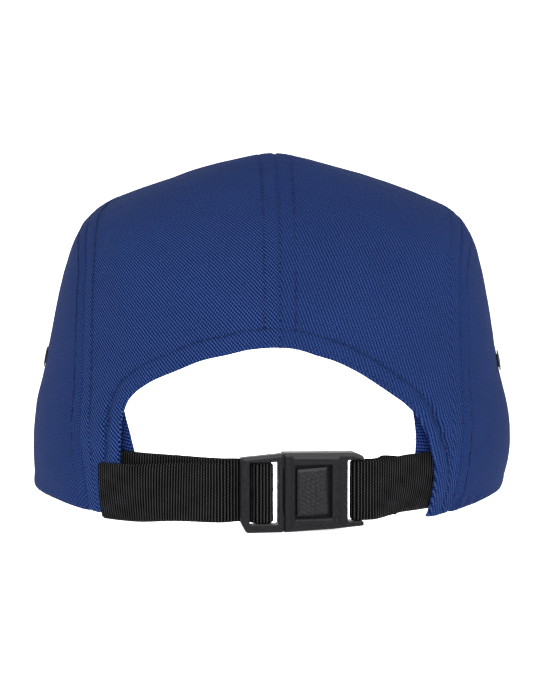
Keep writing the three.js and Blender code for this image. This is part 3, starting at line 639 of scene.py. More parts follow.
class Nodes:
    """Short calls to add and link nodes of one tree."""

    def __init__(self, tree):
        self.tree = tree

    def add(self, kind, operation=None, **values):
        node = self.tree.nodes.new(kind)
        if operation:
            node.operation = operation
        for key, value in values.items():
            setattr(node, key, value)
        return node

    def link(self, source, target):
        self.tree.links.new(source, target)

    def math(self, operation, first, second=None):
        node = self.add("ShaderNodeMath", operation)
        for socket, value in zip(node.inputs, (first, second)):
            if value is None:
                continue
            if isinstance(value, (int, float)):
                socket.default_value = value
            else:
                self.link(value, socket)
        return node.outputs[0]

    def split(self, vector):
        node = self.add("ShaderNodeSeparateXYZ")
        self.link(vector, node.inputs[0])
        return node.outputs

    def clamp(self, value):
        node = self.add("ShaderNodeClamp")
        self.link(value, node.inputs["Value"])
        return node.outputs[0]

    def noise(self, vector, scale, detail=2):
        """A noise texture at a vector, with a number or a socket for its scale."""
        node = self.add("ShaderNodeTexNoise", noise_dimensions="3D")
        self.link(vector, node.inputs["Vector"])
        if isinstance(scale, (int, float)):
            node.inputs["Scale"].default_value = scale
        else:
            self.link(scale, node.inputs["Scale"])
        node.inputs["Detail"].default_value = detail
        return node

    def wander(self, noise, strength):
        """A noise texture's value turned to a swing round zero."""
        return self.math("MULTIPLY", self.math("SUBTRACT", noise.outputs["Fac"], 0.5), strength)

    def mix(self, factor, first, second, blend="MIX"):
        node = self.add("ShaderNodeMix", data_type="RGBA", blend_type=blend)
        for name, value in (("Factor", factor), ("A", first), ("B", second)):
            socket = next(x for x in node.inputs if x.name == name and x.enabled)
            if isinstance(value, (int, float)):
                socket.default_value = value
            elif isinstance(value, (tuple, list)):
                socket.default_value = (*value[:3], 1)
            else:
                self.link(value, socket)
        return next(x for x in node.outputs if x.enabled)


def new_group(name, inputs, outputs):
    """An empty node group with named sockets: inputs are (name, kind, default), outputs are (name, kind)."""
    tree = bpy.data.node_groups.new(name, "ShaderNodeTree")
    for label, kind, default in inputs:
        socket = tree.interface.new_socket(label, in_out="INPUT", socket_type=kind)
        if default is not None:
            socket.default_value = default
    for label, kind in outputs:
        tree.interface.new_socket(label, in_out="OUTPUT", socket_type=kind)
    nodes = Nodes(tree)
    source = nodes.add("NodeGroupInput")
    target = nodes.add("NodeGroupOutput")
    return tree, nodes, source.outputs, target.inputs


def twill_group():
    """Slanting yarn lines, broken into short floats, from weave coordinates in metres."""
    tree, n, given, out = new_group(
        "Twill",
        [
            ("Weave", "NodeSocketVector", None),
            ("Slant", "NodeSocketFloat", 0.9),
            ("Pitch", "NodeSocketFloat", 0.001),
            ("Contrast", "NodeSocketFloat", 1.0),
            ("Light", "NodeSocketColor", (0.03, 0.06, 0.19, 1)),
            ("Deep", "NodeSocketColor", (0.015, 0.03, 0.1, 1)),
            ("Fade from", "NodeSocketFloat", 0.092),
            ("Fade to", "NodeSocketFloat", 0.114),
            ("Bold under", "NodeSocketFloat", 0.055),
        ],
        [("Color", "NodeSocketColor"), ("Height", "NodeSocketFloat")],
    )
    turn = n.add("ShaderNodeVectorRotate", rotation_type="Z_AXIS")
    n.link(given["Weave"], turn.inputs["Vector"])
    n.link(n.math("MULTIPLY", given["Slant"], -1.0), turn.inputs["Angle"])
    turned = n.split(turn.outputs[0])
    along, across = turned["X"], turned["Y"]
    bend = n.wander(n.noise(given["Weave"], 130), 3.4)
    turns = n.math("MULTIPLY", n.math("DIVIDE", across, given["Pitch"]), 2 * math.pi)
    line = n.math("SINE", n.math("ADD", turns, bend))
    step_turns = n.math("MULTIPLY", n.math("DIVIDE", along, given["Pitch"]), 2 * math.pi * 1.15)
    floats = n.math("SINE", n.math("ADD", n.math("MULTIPLY", turns, 0.5), step_turns))
    fine = n.noise(given["Weave"], 2600)
    raised = n.math("ADD", n.math("MULTIPLY", line, 0.38), n.math("MULTIPLY", floats, 0.24))
    upright = n.split(n.add("ShaderNodeTexCoord").outputs["Object"])
    faded = n.add("ShaderNodeMapRange")
    low = n.add("ShaderNodeMapRange")
    for node, start, stop, before, after in (
        (faded, given["Fade from"], given["Fade to"], 1.0, 0.3), (low, 0.0, given["Bold under"], 1.7, 1.0)
    ):
        n.link(upright["Z"], node.inputs["Value"])
        if start:
            n.link(start, node.inputs["From Min"])
        n.link(stop, node.inputs["From Max"])
        node.inputs["To Min"].default_value = before
        node.inputs["To Max"].default_value = after
    bold = n.math("MULTIPLY", faded.outputs[0], low.outputs[0])
    raised = n.math("MULTIPLY", raised, n.math("MULTIPLY", given["Contrast"], bold))
    height = n.math("ADD", n.math("ADD", raised, n.wander(fine, 1.5)), 0.5)
    shade = n.math("POWER", n.clamp(height), 1.75)
    n.link(n.mix(shade, given["Deep"], given["Light"]), out["Color"])
    n.link(height, out["Height"])
    return tree


def webbing_group():
    """Ribs across a strap, each a row of short raised floats, from weave coordinates in metres."""
    tree, n, given, out = new_group(
        "Webbing",
        [
            ("Weave", "NodeSocketVector", None),
            ("Pitch", "NodeSocketFloat", 0.001),
            ("Light", "NodeSocketColor", (0.02, 0.02, 0.02, 1)),
            ("Deep", "NodeSocketColor", (0.003, 0.003, 0.003, 1)),
        ],
        [("Color", "NodeSocketColor"), ("Height", "NodeSocketFloat")],
    )
    flat = n.split(given["Weave"])
    across, along = flat["X"], flat["Y"]
    bend = n.wander(n.noise(given["Weave"], 260), 1.1)
    turns = n.math("MULTIPLY", n.math("DIVIDE", along, given["Pitch"]), 2 * math.pi)
    rib = n.math("COSINE", n.math("ADD", turns, bend))
    steps = n.math("MULTIPLY", n.math("DIVIDE", across, given["Pitch"]), 2 * math.pi)
    half = n.math("MULTIPLY", turns, 0.5)
    bead = n.math("MULTIPLY", n.math("SINE", n.math("ADD", steps, bend)), n.math("COSINE", half))
    fine = n.noise(given["Weave"], 3400)
    raised = n.math("ADD", n.math("MULTIPLY", rib, 0.56), n.math("MULTIPLY", bead, 0.14))
    height = n.math("ADD", n.math("ADD", raised, n.wander(fine, 0.5)), 0.25)
    sharp = n.math("POWER", n.clamp(height), 2.1)
    n.link(n.mix(sharp, given["Deep"], given["Light"]), out["Color"])
    n.link(height, out["Height"])
    return tree


def wear_group():
    """Slow uneven shade of a surface, from its place on the object."""
    tree, n, given, out = new_group(
        "Uneven shade",
        [
            ("Color", "NodeSocketColor", (0.5, 0.5, 0.5, 1)),
            ("Amount", "NodeSocketFloat", 0.2),
            ("Size", "NodeSocketFloat", 30.0),
        ],
        [("Color", "NodeSocketColor"), ("Mask", "NodeSocketFloat")],
    )
    place = n.add("ShaderNodeTexCoord")
    noise = n.noise(place.outputs["Object"], given["Size"], 5)
    noise.inputs["Roughness"].default_value = 0.62
    gain = n.math("ADD", n.math("MULTIPLY", n.wander(noise, given["Amount"]), 2.0), 1.0)
    shade = n.add("ShaderNodeCombineColor")
    for name in ("Red", "Green", "Blue"):
        n.link(gain, shade.inputs[name])
    n.link(n.mix(1.0, given["Color"], shade.outputs[0], blend="MULTIPLY"), out["Color"])
    n.link(noise.outputs["Fac"], out["Mask"])
    return tree


def grain_group():
    """The fine grain of moulded plastic or enamel as a height."""
    tree, n, given, out = new_group(
        "Grain",
        [("Size", "NodeSocketFloat", 2200.0), ("Pebble size", "NodeSocketFloat", 0.0)],
        [("Height", "NodeSocketFloat")],
    )
    place = n.add("ShaderNodeTexCoord")
    noise = n.noise(place.outputs["Object"], given["Size"], 3)
    pebble = n.add("ShaderNodeTexVoronoi", voronoi_dimensions="3D", feature="SMOOTH_F1")
    n.link(place.outputs["Object"], pebble.inputs["Vector"])
    n.link(given["Pebble size"], pebble.inputs["Scale"])
    height = n.math("SUBTRACT", n.math("MULTIPLY", noise.outputs["Fac"], 0.5), pebble.outputs["Distance"])
    n.link(height, out["Height"])
    return tree


def painted_top_highlight_group():
    """A mask for a painted highlight on the surface that looks up: 1 on level faces, 0 on upright ones."""
    tree, n, given, out = new_group(
        "Painted top highlight", [("Gain", "NodeSocketFloat", 1.6)], [("Mask", "NodeSocketFloat")]
    )
    normal = n.split(n.add("ShaderNodeNewGeometry").outputs["True Normal"])
    level = n.math("SUBTRACT", normal["Z"], 0.1)
    n.link(n.clamp(n.math("MULTIPLY", level, given["Gain"])), out["Mask"])
    return tree


def shared_group(name, make):
    return bpy.data.node_groups.get(name) or make()


def new_material(name):
    """A material with its Principled shader, as (material, node calls, shader)."""
    material = bpy.data.materials.new(name)
    material.use_nodes = True
    nodes = Nodes(material.node_tree)
    shader = material.node_tree.nodes["Principled BSDF"]
    return material, nodes, shader


def add_group(nodes, group, **values):
    node = nodes.add("ShaderNodeGroup", node_tree=group)
    for label, value in values.items():
        socket = node.inputs[label.replace("_", " ").capitalize()]
        socket.default_value = (*value, 1) if isinstance(value, (tuple, list)) else value
    return node


def set_inputs(node, **values):
    for label, value in values.items():
        node.inputs[INPUT_NAMES.get(label, label.capitalize())].default_value = value


INPUT_NAMES = {
    "specular": "Specular IOR Level",
    "coat": "Coat Weight",
    "glow": "Emission Strength",
    "glow_colour": "Emission Color",
}


def add_woven(nodes, group, **values):
    """A weave's group node, fed by the sheet's own coordinates."""
    node = add_group(nodes, group, **values)
    weave = nodes.add("ShaderNodeUVMap", uv_map="weave")
    nodes.link(weave.outputs["UV"], node.inputs["Weave"])
    return node


def add_shade(nodes, **values):
    return add_group(nodes, shared_group("Uneven shade", wear_group), **values)


def add_bump(nodes, shader, height, strength, distance):
    bump = nodes.add("ShaderNodeBump")
    set_inputs(bump, strength=strength, distance=distance)
    nodes.link(height, bump.inputs["Height"])
    nodes.link(bump.outputs["Normal"], shader.inputs["Normal"])


def cloth_material(name, light, deep, slant_degrees, contrast=1.0, pitch=1.0 * MM, bump=0.55):
    material, nodes, shader = new_material(name)
    twill = add_woven(
        nodes, shared_group("Twill", twill_group), slant=math.radians(slant_degrees),
        pitch=pitch, contrast=contrast, light=tuple(light), deep=tuple(deep),
    )
    shade = add_shade(nodes, amount=0.22, size=24.0)
    nodes.link(twill.outputs["Color"], shade.inputs["Color"])
    nodes.link(shade.outputs["Color"], shader.inputs["Base Color"])
    set_inputs(shader, roughness=0.88, specular=0.04)
    add_bump(nodes, shader, twill.outputs["Height"], bump, 0.16 * MM)
    return material


def pale_cotton(c):
    """The pale cotton of the inner faces."""
    name, deep = "pale_cotton", [0.94 * value for value in c.inside]
    return shared_material(name, lambda: cloth_material(name, c.inside, deep, 0, 0.5, bump=0.3))


def webbing_material(c, pitch):
    material, nodes, shader = new_material("ribbed_webbing")
    web = add_woven(
        nodes, shared_group("Webbing", webbing_group),
        pitch=pitch, light=tuple(c.webbing), deep=tuple(c.webbing_deep),
    )
    nodes.link(web.outputs["Color"], shader.inputs["Base Color"])
    set_inputs(shader, roughness=0.6, specular=0.02)
    add_bump(nodes, shader, web.outputs["Height"], 0.8, 0.25 * MM)
    return material


def plastic_material(name, tint, roughness, pebble_size=0.0, strength=0.7, distance=0.05 * MM, painted_sheen=0.0):
    material, nodes, shader = new_material(name)
    grain = add_group(nodes, shared_group("Grain", grain_group), size=2200.0, pebble_size=pebble_size)
    shade = add_shade(nodes, color=tuple(tint), amount=1.5, size=1400.0)
    top_highlight = add_group(nodes, shared_group("Painted top highlight", painted_top_highlight_group))
    # Faces that look up get a lighter tint: a painted highlight standing in for the light from above.
    highlit_tint = [value + painted_sheen for value in tint]
    mixed = nodes.mix(top_highlight.outputs["Mask"], shade.outputs["Color"], highlit_tint)
    nodes.link(mixed, shader.inputs["Base Color"])
    set_inputs(shader, roughness=roughness, specular=0.07)
    add_bump(nodes, shader, grain.outputs["Height"], strength, distance)
    return material


def enamel_material(c):
    material, nodes, shader = new_material("eyelet")
    shade = add_shade(nodes, color=tuple(c.eyelet), amount=0.2, size=300.0)
    nodes.link(shade.outputs["Color"], shader.inputs["Base Color"])
    set_inputs(shader, roughness=0.38, specular=0.1, coat=0.05)
    return material


def floor_material(c):
    material, nodes, shader = new_material("floor")
    shade = add_shade(nodes, color=tuple(c.floor), amount=0.01, size=2.0)
    nodes.link(shade.outputs["Color"], shader.inputs["Base Color"])
    set_inputs(shader, roughness=0.9, specular=0.0, glow_colour=(1, 1, 1, 1), glow=0.75)
    return material


def shared_material(name, make):
    return bpy.data.materials.get(name) or make()


# Stitches

STITCH_FILL = 0.92
STITCH_SUNK = 0.22
BESIDE_COUNT = 260
BAND_ROWS = (0.09, 0.91)
BAND_STITCH_IN = 0.5 * MM

# The peak's stitch rows in millimetres: how far the first is from the edge, and from row to row
PEAK_ROWS = 6
PEAK_ROW_FIRST = 5
PEAK_ROW_STEP = 8


def stitch_template(sides):
    """One stitch along x, one unit long, half sunk at both ends."""
    stations = np.array([-0.5, -0.34, 0.0, 0.34, 0.5])
    radii = np.array([0.0, 0.8, 1.0, 0.8, 0.0])
    sag = np.array([-0.9, -0.25, 0.0, -0.25, -0.9])
    points = [(stations[0], 0, sag[0])]
    for x, radius, low in zip(stations[1:-1], radii[1:-1], sag[1:-1]):
        for k in range(sides):
            turn = 2 * math.pi * k / sides
            points.append((x, radius * math.cos(turn), radius * math.sin(turn) + low))
    points.append((stations[-1], 0, sag[-1]))
    faces = []
    last = len(points) - 1
    for k in range(sides):
        after = (k + 1) % sides
        faces.append((0, 1 + after, 1 + k, 1 + k))
        for ring in range(2):
            a, b = 1 + ring * sides + k, 1 + ring * sides + after
            faces.append((a, b, b + sides, a + sides))
        faces.append((1 + 2 * sides + k, 1 + 2 * sides + after, last, last))
    return np.array(points, float), faces


def sew(s, name, paths, trees, material):
    """Stitches along paths of close points, laid on the nearest skin, as one object."""
    template, faces = stitch_template(s.stitch_sides)
    points, all_faces = [], []
    for path in paths:
        lengths = run_lengths(path)
        count = max(1, int(lengths[-1] / s.stitch_pitch))
        middles = (np.arange(count) + 0.5) * lengths[-1] / count
        at, ahead, behind = (
            np.stack([np.interp(middles + step, lengths, path[:, k]) for k in range(3)], -1)
            for step in (0, 0.5 * MM, -0.5 * MM)
        )
        for place, tangent in zip(at, unit(ahead - behind)):
            hits = [tree.find_nearest(Vector(place)) for tree in trees]
            spot, normal, _, _ = min(hits, key=lambda hit: hit[3])
            up = np.array(normal)
            forward = unit(tangent - up * (tangent @ up))
            side = np.cross(up, forward)
            basis = np.stack([
                forward * s.stitch_pitch * STITCH_FILL, side * s.thread * 0.5, up * s.thread * 0.5
            ])
            first = len(points) * len(template)
            points.append(template @ basis + np.array(spot) + up * s.thread * STITCH_SUNK)
            all_faces.extend([tuple(first + i for i in dict.fromkeys(f)) for f in faces])
    mesh_points = np.concatenate(points)
    return make_object(name, mesh_points, all_faces, material, sharp_degrees=180)


def tree_of(obj):
    mesh = obj.data
    corners = np.empty(len(mesh.vertices) * 3)
    mesh.vertices.foreach_get("co", corners)
    polygons = [tuple(p.vertices) for p in mesh.polygons]
    return BVHTree.FromPolygons(corners.reshape(-1, 3).tolist(), polygons)


def beside(s, at, distance, towards, start, end):
    """A line of the surface at a distance from another, on the side of a disk point."""
    flats = at(np.linspace(start, end, BESIDE_COUNT))
    along_x, along_y = crown_slopes(s, flats)
    tangent = unit(np.gradient(crown_point(s, flats), axis=0))
    sideways = np.cross(unit(np.cross(along_x, along_y)), tangent)
    reach = crown_point(s, np.asarray(towards, float)) - crown_point(s, flats)
    sideways *= np.sign((sideways * reach).sum())
    xx, xy, yy = (along_x**2).sum(-1), (along_x * along_y).sum(-1), (along_y**2).sum(-1)
    rx, ry = (along_x * sideways).sum(-1), (along_y * sideways).sum(-1)
    det = xx * yy - xy**2
    move = np.stack([(rx * yy - ry * xy) / det, (ry * xx - rx * xy) / det], -1) * distance
    return crown_point(s, flats + move)


# Webbing


def on_crown(s, side, degrees, out, height, tilt=0.0):
    """A function from height over the centre line to a place against the crown."""

    def at(up):
        z = height + up
        flat = flat_point(side, degrees + tilt * up / MM, 1 - z / RIM_RISE)
        place = crown_point(s, flat) + crown_normal(s, flat) * out
        return np.array([place[0], place[1], z])

    return at


BUCKLE_TURN = math.radians(9)

# The buckle's bars in millimetres: from and to along it, front and back depth, and how far the webbing
# stands off
MIDDLE_BAR = (4.8, 8.2, 2.6, 4.2, 0.95)
REAR_BAR = (-26.6, -24.7, 3.2, 4.8, 1.2)
REAR_LAYER = 2.0 * MM
RIM_RISE = 178 * MM
TAIL_TILT = 0.05

# The webbing's cells across it, samples of its middle line, ribs, bow and the rounded corners of its tail
WEBBING_ROWS = 26
MIDDLE_SAMPLES = 1500
RIB_DEPTH = 0.11 * MM
STRAP_BOW = 0.12 * MM
TAIL_ROUNDING = 6 * MM
TAIL_CUT = 0.6 * MM
TAIL_POWER = 30


def buckle_plan(s, along, deep):
    return np.array([
        s.buckle_x + along * math.cos(BUCKLE_TURN) + deep * math.sin(BUCKLE_TURN),
        s.buckle_y + along * math.sin(BUCKLE_TURN) - deep * math.cos(BUCKLE_TURN),
    ])


def in_buckle(s, along, deep, height):
    plan = buckle_plan(s, along * MM, deep * MM)
    return lambda up: np.array([plan[0], plan[1], height + up])


def round_bar(s, bar, toward):
    """The half turn round a bar's end, from its back to its front: toward is 1 for the wearer's left end."""
    start, stop, front, back, wrap = bar
    end = stop if toward > 0 else start
    turns = [math.radians(degrees) for degrees in (90, 45, 0, -45, -90)]
    middle, reach = (front + back) / 2, (back - front) / 2 + wrap
    return [
        in_buckle(s, end + toward * wrap * math.cos(turn), middle + reach * math.sin(turn), s.buckle_level)
        for turn in turns
    ]


def catmull_rom(points, t):
    """A centripetal curve through the points, at shares t of its segments."""
    last = len(points) - 1
    place = np.asarray(t, float) * last
    i = np.minimum(place.astype(int), last - 1)
    w = (place - i)[:, None]
    first_ghost, last_ghost = 2 * points[0] - points[1], 2 * points[last] - points[last - 1]
    before = np.where((i > 0)[:, None], points[np.maximum(i - 1, 0)], first_ghost)
    after = np.where((i + 2 <= last)[:, None], points[np.minimum(i + 2, last)], last_ghost)
    here, there = points[i], points[i + 1]
    gap = lambda a, b: np.maximum(np.linalg.norm(b - a, axis=-1, keepdims=True) ** 0.5, 1e-6)
    first, middle, final = gap(before, here), gap(here, there), gap(there, after)
    start = ((here - before) / first - (there - before) / (first + middle) + (there - here) / middle) * middle
    end = ((there - here) / middle - (after - here) / (middle + final) + (after - there) / final) * middle
    return (
        here + start * w
        + (3 * (there - here) - 2 * start - end) * w**2
        + (2 * (here - there) + start + end) * w**3
    )


def left_stations(s):
    hidden = -s.wall - s.strap_room - s.strap_thickness / 2
    shown = s.gap + s.strap_thickness / 2
    level, fixed, tail = s.buckle_level, s.fixed_height, s.tail_height
    inside = [on_crown(s, 1, degrees, hidden, fixed) for degrees in (44, 48, 52, 56)]
    leaves = [
        on_crown(s, 1, 61, hidden + 0.4 * MM, fixed),
        on_crown(s, 1, 69, hidden + 1.0 * MM, fixed),
    ]
    enters = (
        (20, 7.6, 1.3), (14.5, 6.95, 1.2), (12, 6.9, 0.9), (10, 6.4, 0.5), (8.5, 5.6, 0.2), (7.2, 5.25, 0),
    )
    slides = ((7.5, 1.5), (8.7, 1.7), (9.4, 2.3), (10.1, 3.6), (10.8, 4.9), (11.9, 5.4))
    inner = [in_buckle(s, along, deep, level + up * MM) for along, deep, up in enters]
    outer = [in_buckle(s, along, deep, level) for along, deep in slides]
    bar = inner + round_bar(s, MIDDLE_BAR, -1) + outer
    returns = [
        in_buckle(s, 14.5, 5.4, level + 0.3 * MM),
        in_buckle(s, 20, 5.8, level),
        on_crown(s, 1, 69, shown - 0.3 * MM, level - 1.0 * MM),
        on_crown(s, 1, 61, shown + 0.1 * MM, tail + 0.6 * MM),
        on_crown(s, 1, 55, shown + 0.3 * MM, tail + 0.2 * MM),
        on_crown(s, 1, 50.6, shown + 0.2 * MM, tail, TAIL_TILT),
    ]
    return inside + leaves + bar + returns


def right_stations(s):
    hidden = -s.wall - s.strap_room - s.strap_thickness / 2
    level, height = s.buckle_level, s.right_height
    inside = [on_crown(s, -1, degrees, hidden, height) for degrees in (46, 50, 54, 58.5)]
    leaves = on_crown(s, -1, 63, hidden + 1.0 * MM, height + 0.1 * MM)
    enters = [in_buckle(s, along, deep, level) for along, deep in ((-31, 2.9), (-27.5, 2.1), (-26, 2.0))]
    bar = enters + round_bar(s, REAR_BAR, 1)[::-1]
    back = [
        in_buckle(s, -26, 6.0, level),
        in_buckle(s, -28, 5.8, level + 0.1 * MM),
        in_buckle(s, -32, 5.2, level + 0.3 * MM),
    ]
    start, end = buckle_plan(s, -31 * MM, 2.9 * MM), leaves(0)[:2]
    across = unit(end - start)
    layer = REAR_LAYER * np.array([-across[1], across[0]])

    def beside_front(share, middle):
        plan = start + (end - start) * share + layer
        return lambda up: np.array([plan[0], plan[1], middle + up])

    rear = [beside_front(0.35, level + 0.8 * MM), beside_front(0.8, s.rear_height)]
    return inside + [leaves] + bar + back + rear


def webbing_loop(width, thickness, rows):
    """A flat cross-section with rounded edges, as (across, out) places round it."""
    across = np.linspace(-0.5, 0.5, rows + 1) * width
    radius = thickness / 2
    from_edge = width / 2 - abs(across)
    half = np.where(from_edge < radius, np.sqrt(np.maximum(radius**2 - (radius - from_edge) ** 2, 0)), radius)
    outer = np.stack([across, half], -1)
    inner = np.stack([across, -half], -1)[::-1][1:-1]
    return np.concatenate([outer, inner])


def weave_strap(s, c, name, stations, has_tail):
    """Webbing swept on edge through its stations, with real ribs across it."""
    rows = WEBBING_ROWS
    section = webbing_loop(s.strap_width, s.strap_thickness, rows)
    fine = np.linspace(0, 1, MIDDLE_SAMPLES)
    middle = catmull_rom(np.array([place(0.0) for place in stations]), fine)
    lengths = run_lengths(middle)
    count = int(lengths[-1] / (s.rib_pitch / 4))
    shares = np.interp(np.linspace(0, lengths[-1], count + 1), lengths, fine)
    along = np.linspace(0, lengths[-1], count + 1)
    rings = []
    for across, out in section:
        line = catmull_rom(np.array([place(across) for place in stations]), shares)
        tangent = unit(np.gradient(line, axis=0) * np.array([1, 1, 0]))
        normal = np.stack([-tangent[:, 1], tangent[:, 0], np.zeros(len(line))], -1)
        if has_tail:
            ends = step_between(along, lengths[-1] - TAIL_ROUNDING, lengths[-1])[:, None]
            line = line - tangent * ends * TAIL_CUT * abs(across / s.strap_width * 2) ** TAIL_POWER
        wobble = 0.3 * np.sin(across / (1.9 * MM) + along * 330)
        wobble += 0.2 * np.sin(across / (0.9 * MM) - along * 510)
        rib = np.cos(2 * np.pi * along / s.rib_pitch + wobble)
        depth = RIB_DEPTH * abs(out) / (s.strap_thickness / 2)
        bow = STRAP_BOW * np.sin(along / (9 * MM) + 1.0) * math.cos(math.pi * across / s.strap_width)
        rings.append(line + normal * (out + np.sign(out) * depth * rib + bow)[:, None])
    points = np.stack(rings, 1)
    around = len(section)
    index = np.arange((count + 1) * around).reshape(count + 1, around)
    after = np.roll(index, -1, axis=1)
    quads = np.stack([index[:-1], index[1:], after[1:], after[:-1]], -1).reshape(-1, 4)
    caps = []
    for ring, turned in ((index[0], False), (index[-1], True)):
        for k in range(1, rows):
            upper, lower = ring[k], ring[around - k]
            upper_next, lower_next = ring[k + 1], ring[(around - k - 1) if k + 1 < rows else rows]
            cap = [upper, upper_next, lower_next, lower]
            caps.append(cap[::-1] if turned else cap)
        cap = [ring[0], ring[1], ring[around - 1]]
        caps.append(cap[::-1] if turned else cap)
    quads = [list(q) for q in quads] + [list(dict.fromkeys(cap)) for cap in caps]
    weave = np.stack([
        np.broadcast_to(section[:, 0], (count + 1, around)),
        np.broadcast_to(along[:, None], (count + 1, around)),
    ], -1).reshape(-1, 2)
    material = shared_material("ribbed_webbing", lambda: webbing_material(c, s.rib_pitch))
    points = points.reshape(-1, 3) + cap_origin(s)
    recalculate_normals(
        make_object(name, points, quads, material, weave=weave, sharp_degrees=75, node=name)
    )


def recalculate_normals(obj):
    work = bmesh.new()
    work.from_mesh(obj.data)
    bmesh.ops.recalc_face_normals(work, faces=work.faces)
    work.to_mesh(obj.data)
    work.free()


# Buckle


def inset_corners(corners, distances):
    """The corners of an anticlockwise outline after each edge has moved in by its own distance."""
    corners = np.asarray(corners, float)
    distances = np.broadcast_to(np.asarray(distances, float), len(corners))
    ahead = unit(np.roll(corners, -1, axis=0) - corners)
    inward = np.stack([-ahead[:, 1], ahead[:, 0]], -1)
    before, before_distance = np.roll(inward, 1, axis=0), np.roll(distances, 1)
    likeness = (inward * before).sum(-1)
    scale = np.maximum(1 - likeness**2, 1e-9)
    own = (distances - likeness * before_distance) / scale
    other = (before_distance - likeness * distances) / scale
    return corners + own[:, None] * inward + other[:, None] * before


def rounded(corners, radius, steps=7):
    """A closed outline with its corners turned to curves."""
    outline = []
    for k, corner in enumerate(corners):
        before, after = corners[k - 1] - corner, corners[(k + 1) % len(corners)] - corner
        cut = min(radius, np.linalg.norm(before) / 2.1, np.linalg.norm(after) / 2.1)
        start, end = corner + unit(before) * cut, corner + unit(after) * cut
        for t in np.linspace(0, 1, steps + 1):
            outline.append((1 - t) ** 2 * start + 2 * t * (1 - t) * corner + t**2 * end)
    return np.array(outline)


def rectangle(from_along, to_along, half_up):
    return np.array([
        (from_along, -half_up), (to_along, -half_up), (to_along, half_up), (from_along, half_up)
    ])


def moulded(corners, front, back, chamfers, holes=(), radius=0.6, lip=0.25, back_chamfer=0.3):
    """A moulded plate with chamfered edges: points as (along, up, deep) and faces, in millimetres.

    chamfers holds one width for each edge of the outline, or one for all of them.
    """
    chamfers = np.broadcast_to(np.asarray(chamfers, float), len(corners))
    widest = chamfers.max()
    ease = 0.12
    levels = (
        (front, 1.0, lip + ease, ease),
        (front + 0.3 * ease, 1.0, lip, 0.0),
        (front + 0.75 * widest, 0.0, 0.0, 0.0),
        (back - back_chamfer, 0.0, 0.0, 0.0),
        (back, 0.0, lip, back_chamfer),
    )
    points, faces = [], []
    for deep, share, hole_inset, extra in levels:
        rings = [rounded(inset_corners(corners, chamfers * share + extra), radius)]
        rings += [rounded(inset_corners(hole, -hole_inset), radius) for hole in holes]
        points += [(along, up, deep) for ring in rings for along, up in ring]
    sizes = [len(ring) for ring in rings]
    total = sum(sizes)
    for level in range(len(levels) - 1):
        first = level * total
        for size in sizes:
            for k in range(size):
                after = (k + 1) % size
                faces.append((first + k, first + after, first + total + after, first + total + k))
            first += size
    for level in (0, len(levels) - 1):
        first = level * total
        ends = np.cumsum([0, *sizes])
        flat = [[Vector((*points[first + i][:2], 0)) for i in range(a, b)] for a, b in zip(ends, ends[1:])]
        faces += [tuple(first + i for i in triangle) for triangle in tessellate_polygon(flat)]
    return np.array(points), faces


def join_plates(plates):
    points, faces = [], []
    for plate_points, plate_faces in plates:
        first = sum(len(p) for p in points)
        points.append(plate_points)
        faces.extend([tuple(first + i for i in f) for f in plate_faces])
    return np.concatenate(points), faces


def buckle_object(s, name, plates, material, node=None):
    """Plates in the buckle's own directions, set in place on the strap."""
    local, faces = join_plates(plates)
    local = local * MM
    along = np.array([math.cos(BUCKLE_TURN), math.sin(BUCKLE_TURN), 0])
    inward = np.array([math.sin(BUCKLE_TURN), -math.cos(BUCKLE_TURN), 0])
    start = np.array([s.buckle_x, s.buckle_y, s.buckle_level]) + cap_origin(s)
    points = start + local[:, :1] * along + local[:, 1:2] * np.array([0, 0, 1]) + local[:, 2:] * inward
    recalculate_normals(
        make_object(name, points, faces, material, sharp_degrees=16, node=node)
    )


def bar_plate(s, bar):
    start, stop, front, back, _ = bar
    return moulded(rectangle(start, stop, slot_half(s) + 0.5), front, back, 0.3, radius=0.3)


def slot_half(s):
    return s.strap_width / MM / 2 + 0.25


# Outlines of the two halves: along, up, and the width of the chamfer on the edge that starts there
PLUG_OUTLINE = (
    (0.15, -13.1, 0.7), (12.4, -13.0, 0.7), (14.2, -9.6, 0.9), (14.2, 12.0, 1.0), (0.15, 13.1, 0.4),
)
SOCKET_OUTLINE = (
    (-27.1, -11.75, 0.5), (-17.0, -12.55, 0.5), (-0.15, -13.2, 0.5), (-0.15, 13.2, 1.1), (-24.0, 12.7, 1.1),
    (-27.1, 11.4, 0.4), (-27.1, 10.25, 0.2), (-21.7, 10.25, 0.2), (-21.7, -10.25, 0.2), (-27.1, -10.25, 0.2),
)
FACE_OUTLINE = ((-19.4, -11.9, 1.2), (-2.2, -12.7, 1.2), (-2.2, 12.6, 1.2), (-19.4, 12.2, 1.2))
BUTTON_OUTLINE = ((-14.9, -7.4), (-4.5, -8.0), (-4.4, 7.6), (-14.6, 8.2))
WINDOW = (-16.0, -3.8, 9.0)

# Depths in millimetres behind the buckle's face, from and to
PLUG_DEPTH = (0.6, 4.4)
TONGUE_DEPTH = (3.2, 4.4)
BUTTON_DEPTH = (0.45, 3.6)
SOCKET_DEPTH = (0.8, 3.4)
FACE_DEPTH = (0.0, 1.6)
BODY_DEPTH = (3.4, 7.0)
BACK_DEPTH = (6.6, 8.0)

# The button's dots in millimetres, as (along, up): the first one's place, the steps and the half widths
DOT_ROWS = 9
DOT_COLUMNS = 5
DOT_SIDES = 10
DOT_FIRST = (-6.5, -6.6)
DOT_STEPS = (1.55, 1.5)
DOT_HALF = (0.62, 0.42)
DOT_RISE = 0.45
DOT_SKEW = 0.15
DOT_HEIGHTS = (0.5, 0.05, -0.05)
BUTTON_LIGHTER = 1.7


def plug_plates(s):
    outline = np.array(PLUG_OUTLINE)
    slot = rectangle(1.9, 11.4, slot_half(s))
    return [
        moulded(outline[:, :2], *PLUG_DEPTH, outline[:, 2], [slot], radius=0.5),
        bar_plate(s, MIDDLE_BAR),
        moulded(rectangle(-15.4, 1.0, 7.6), *TONGUE_DEPTH, 0.3),
    ]


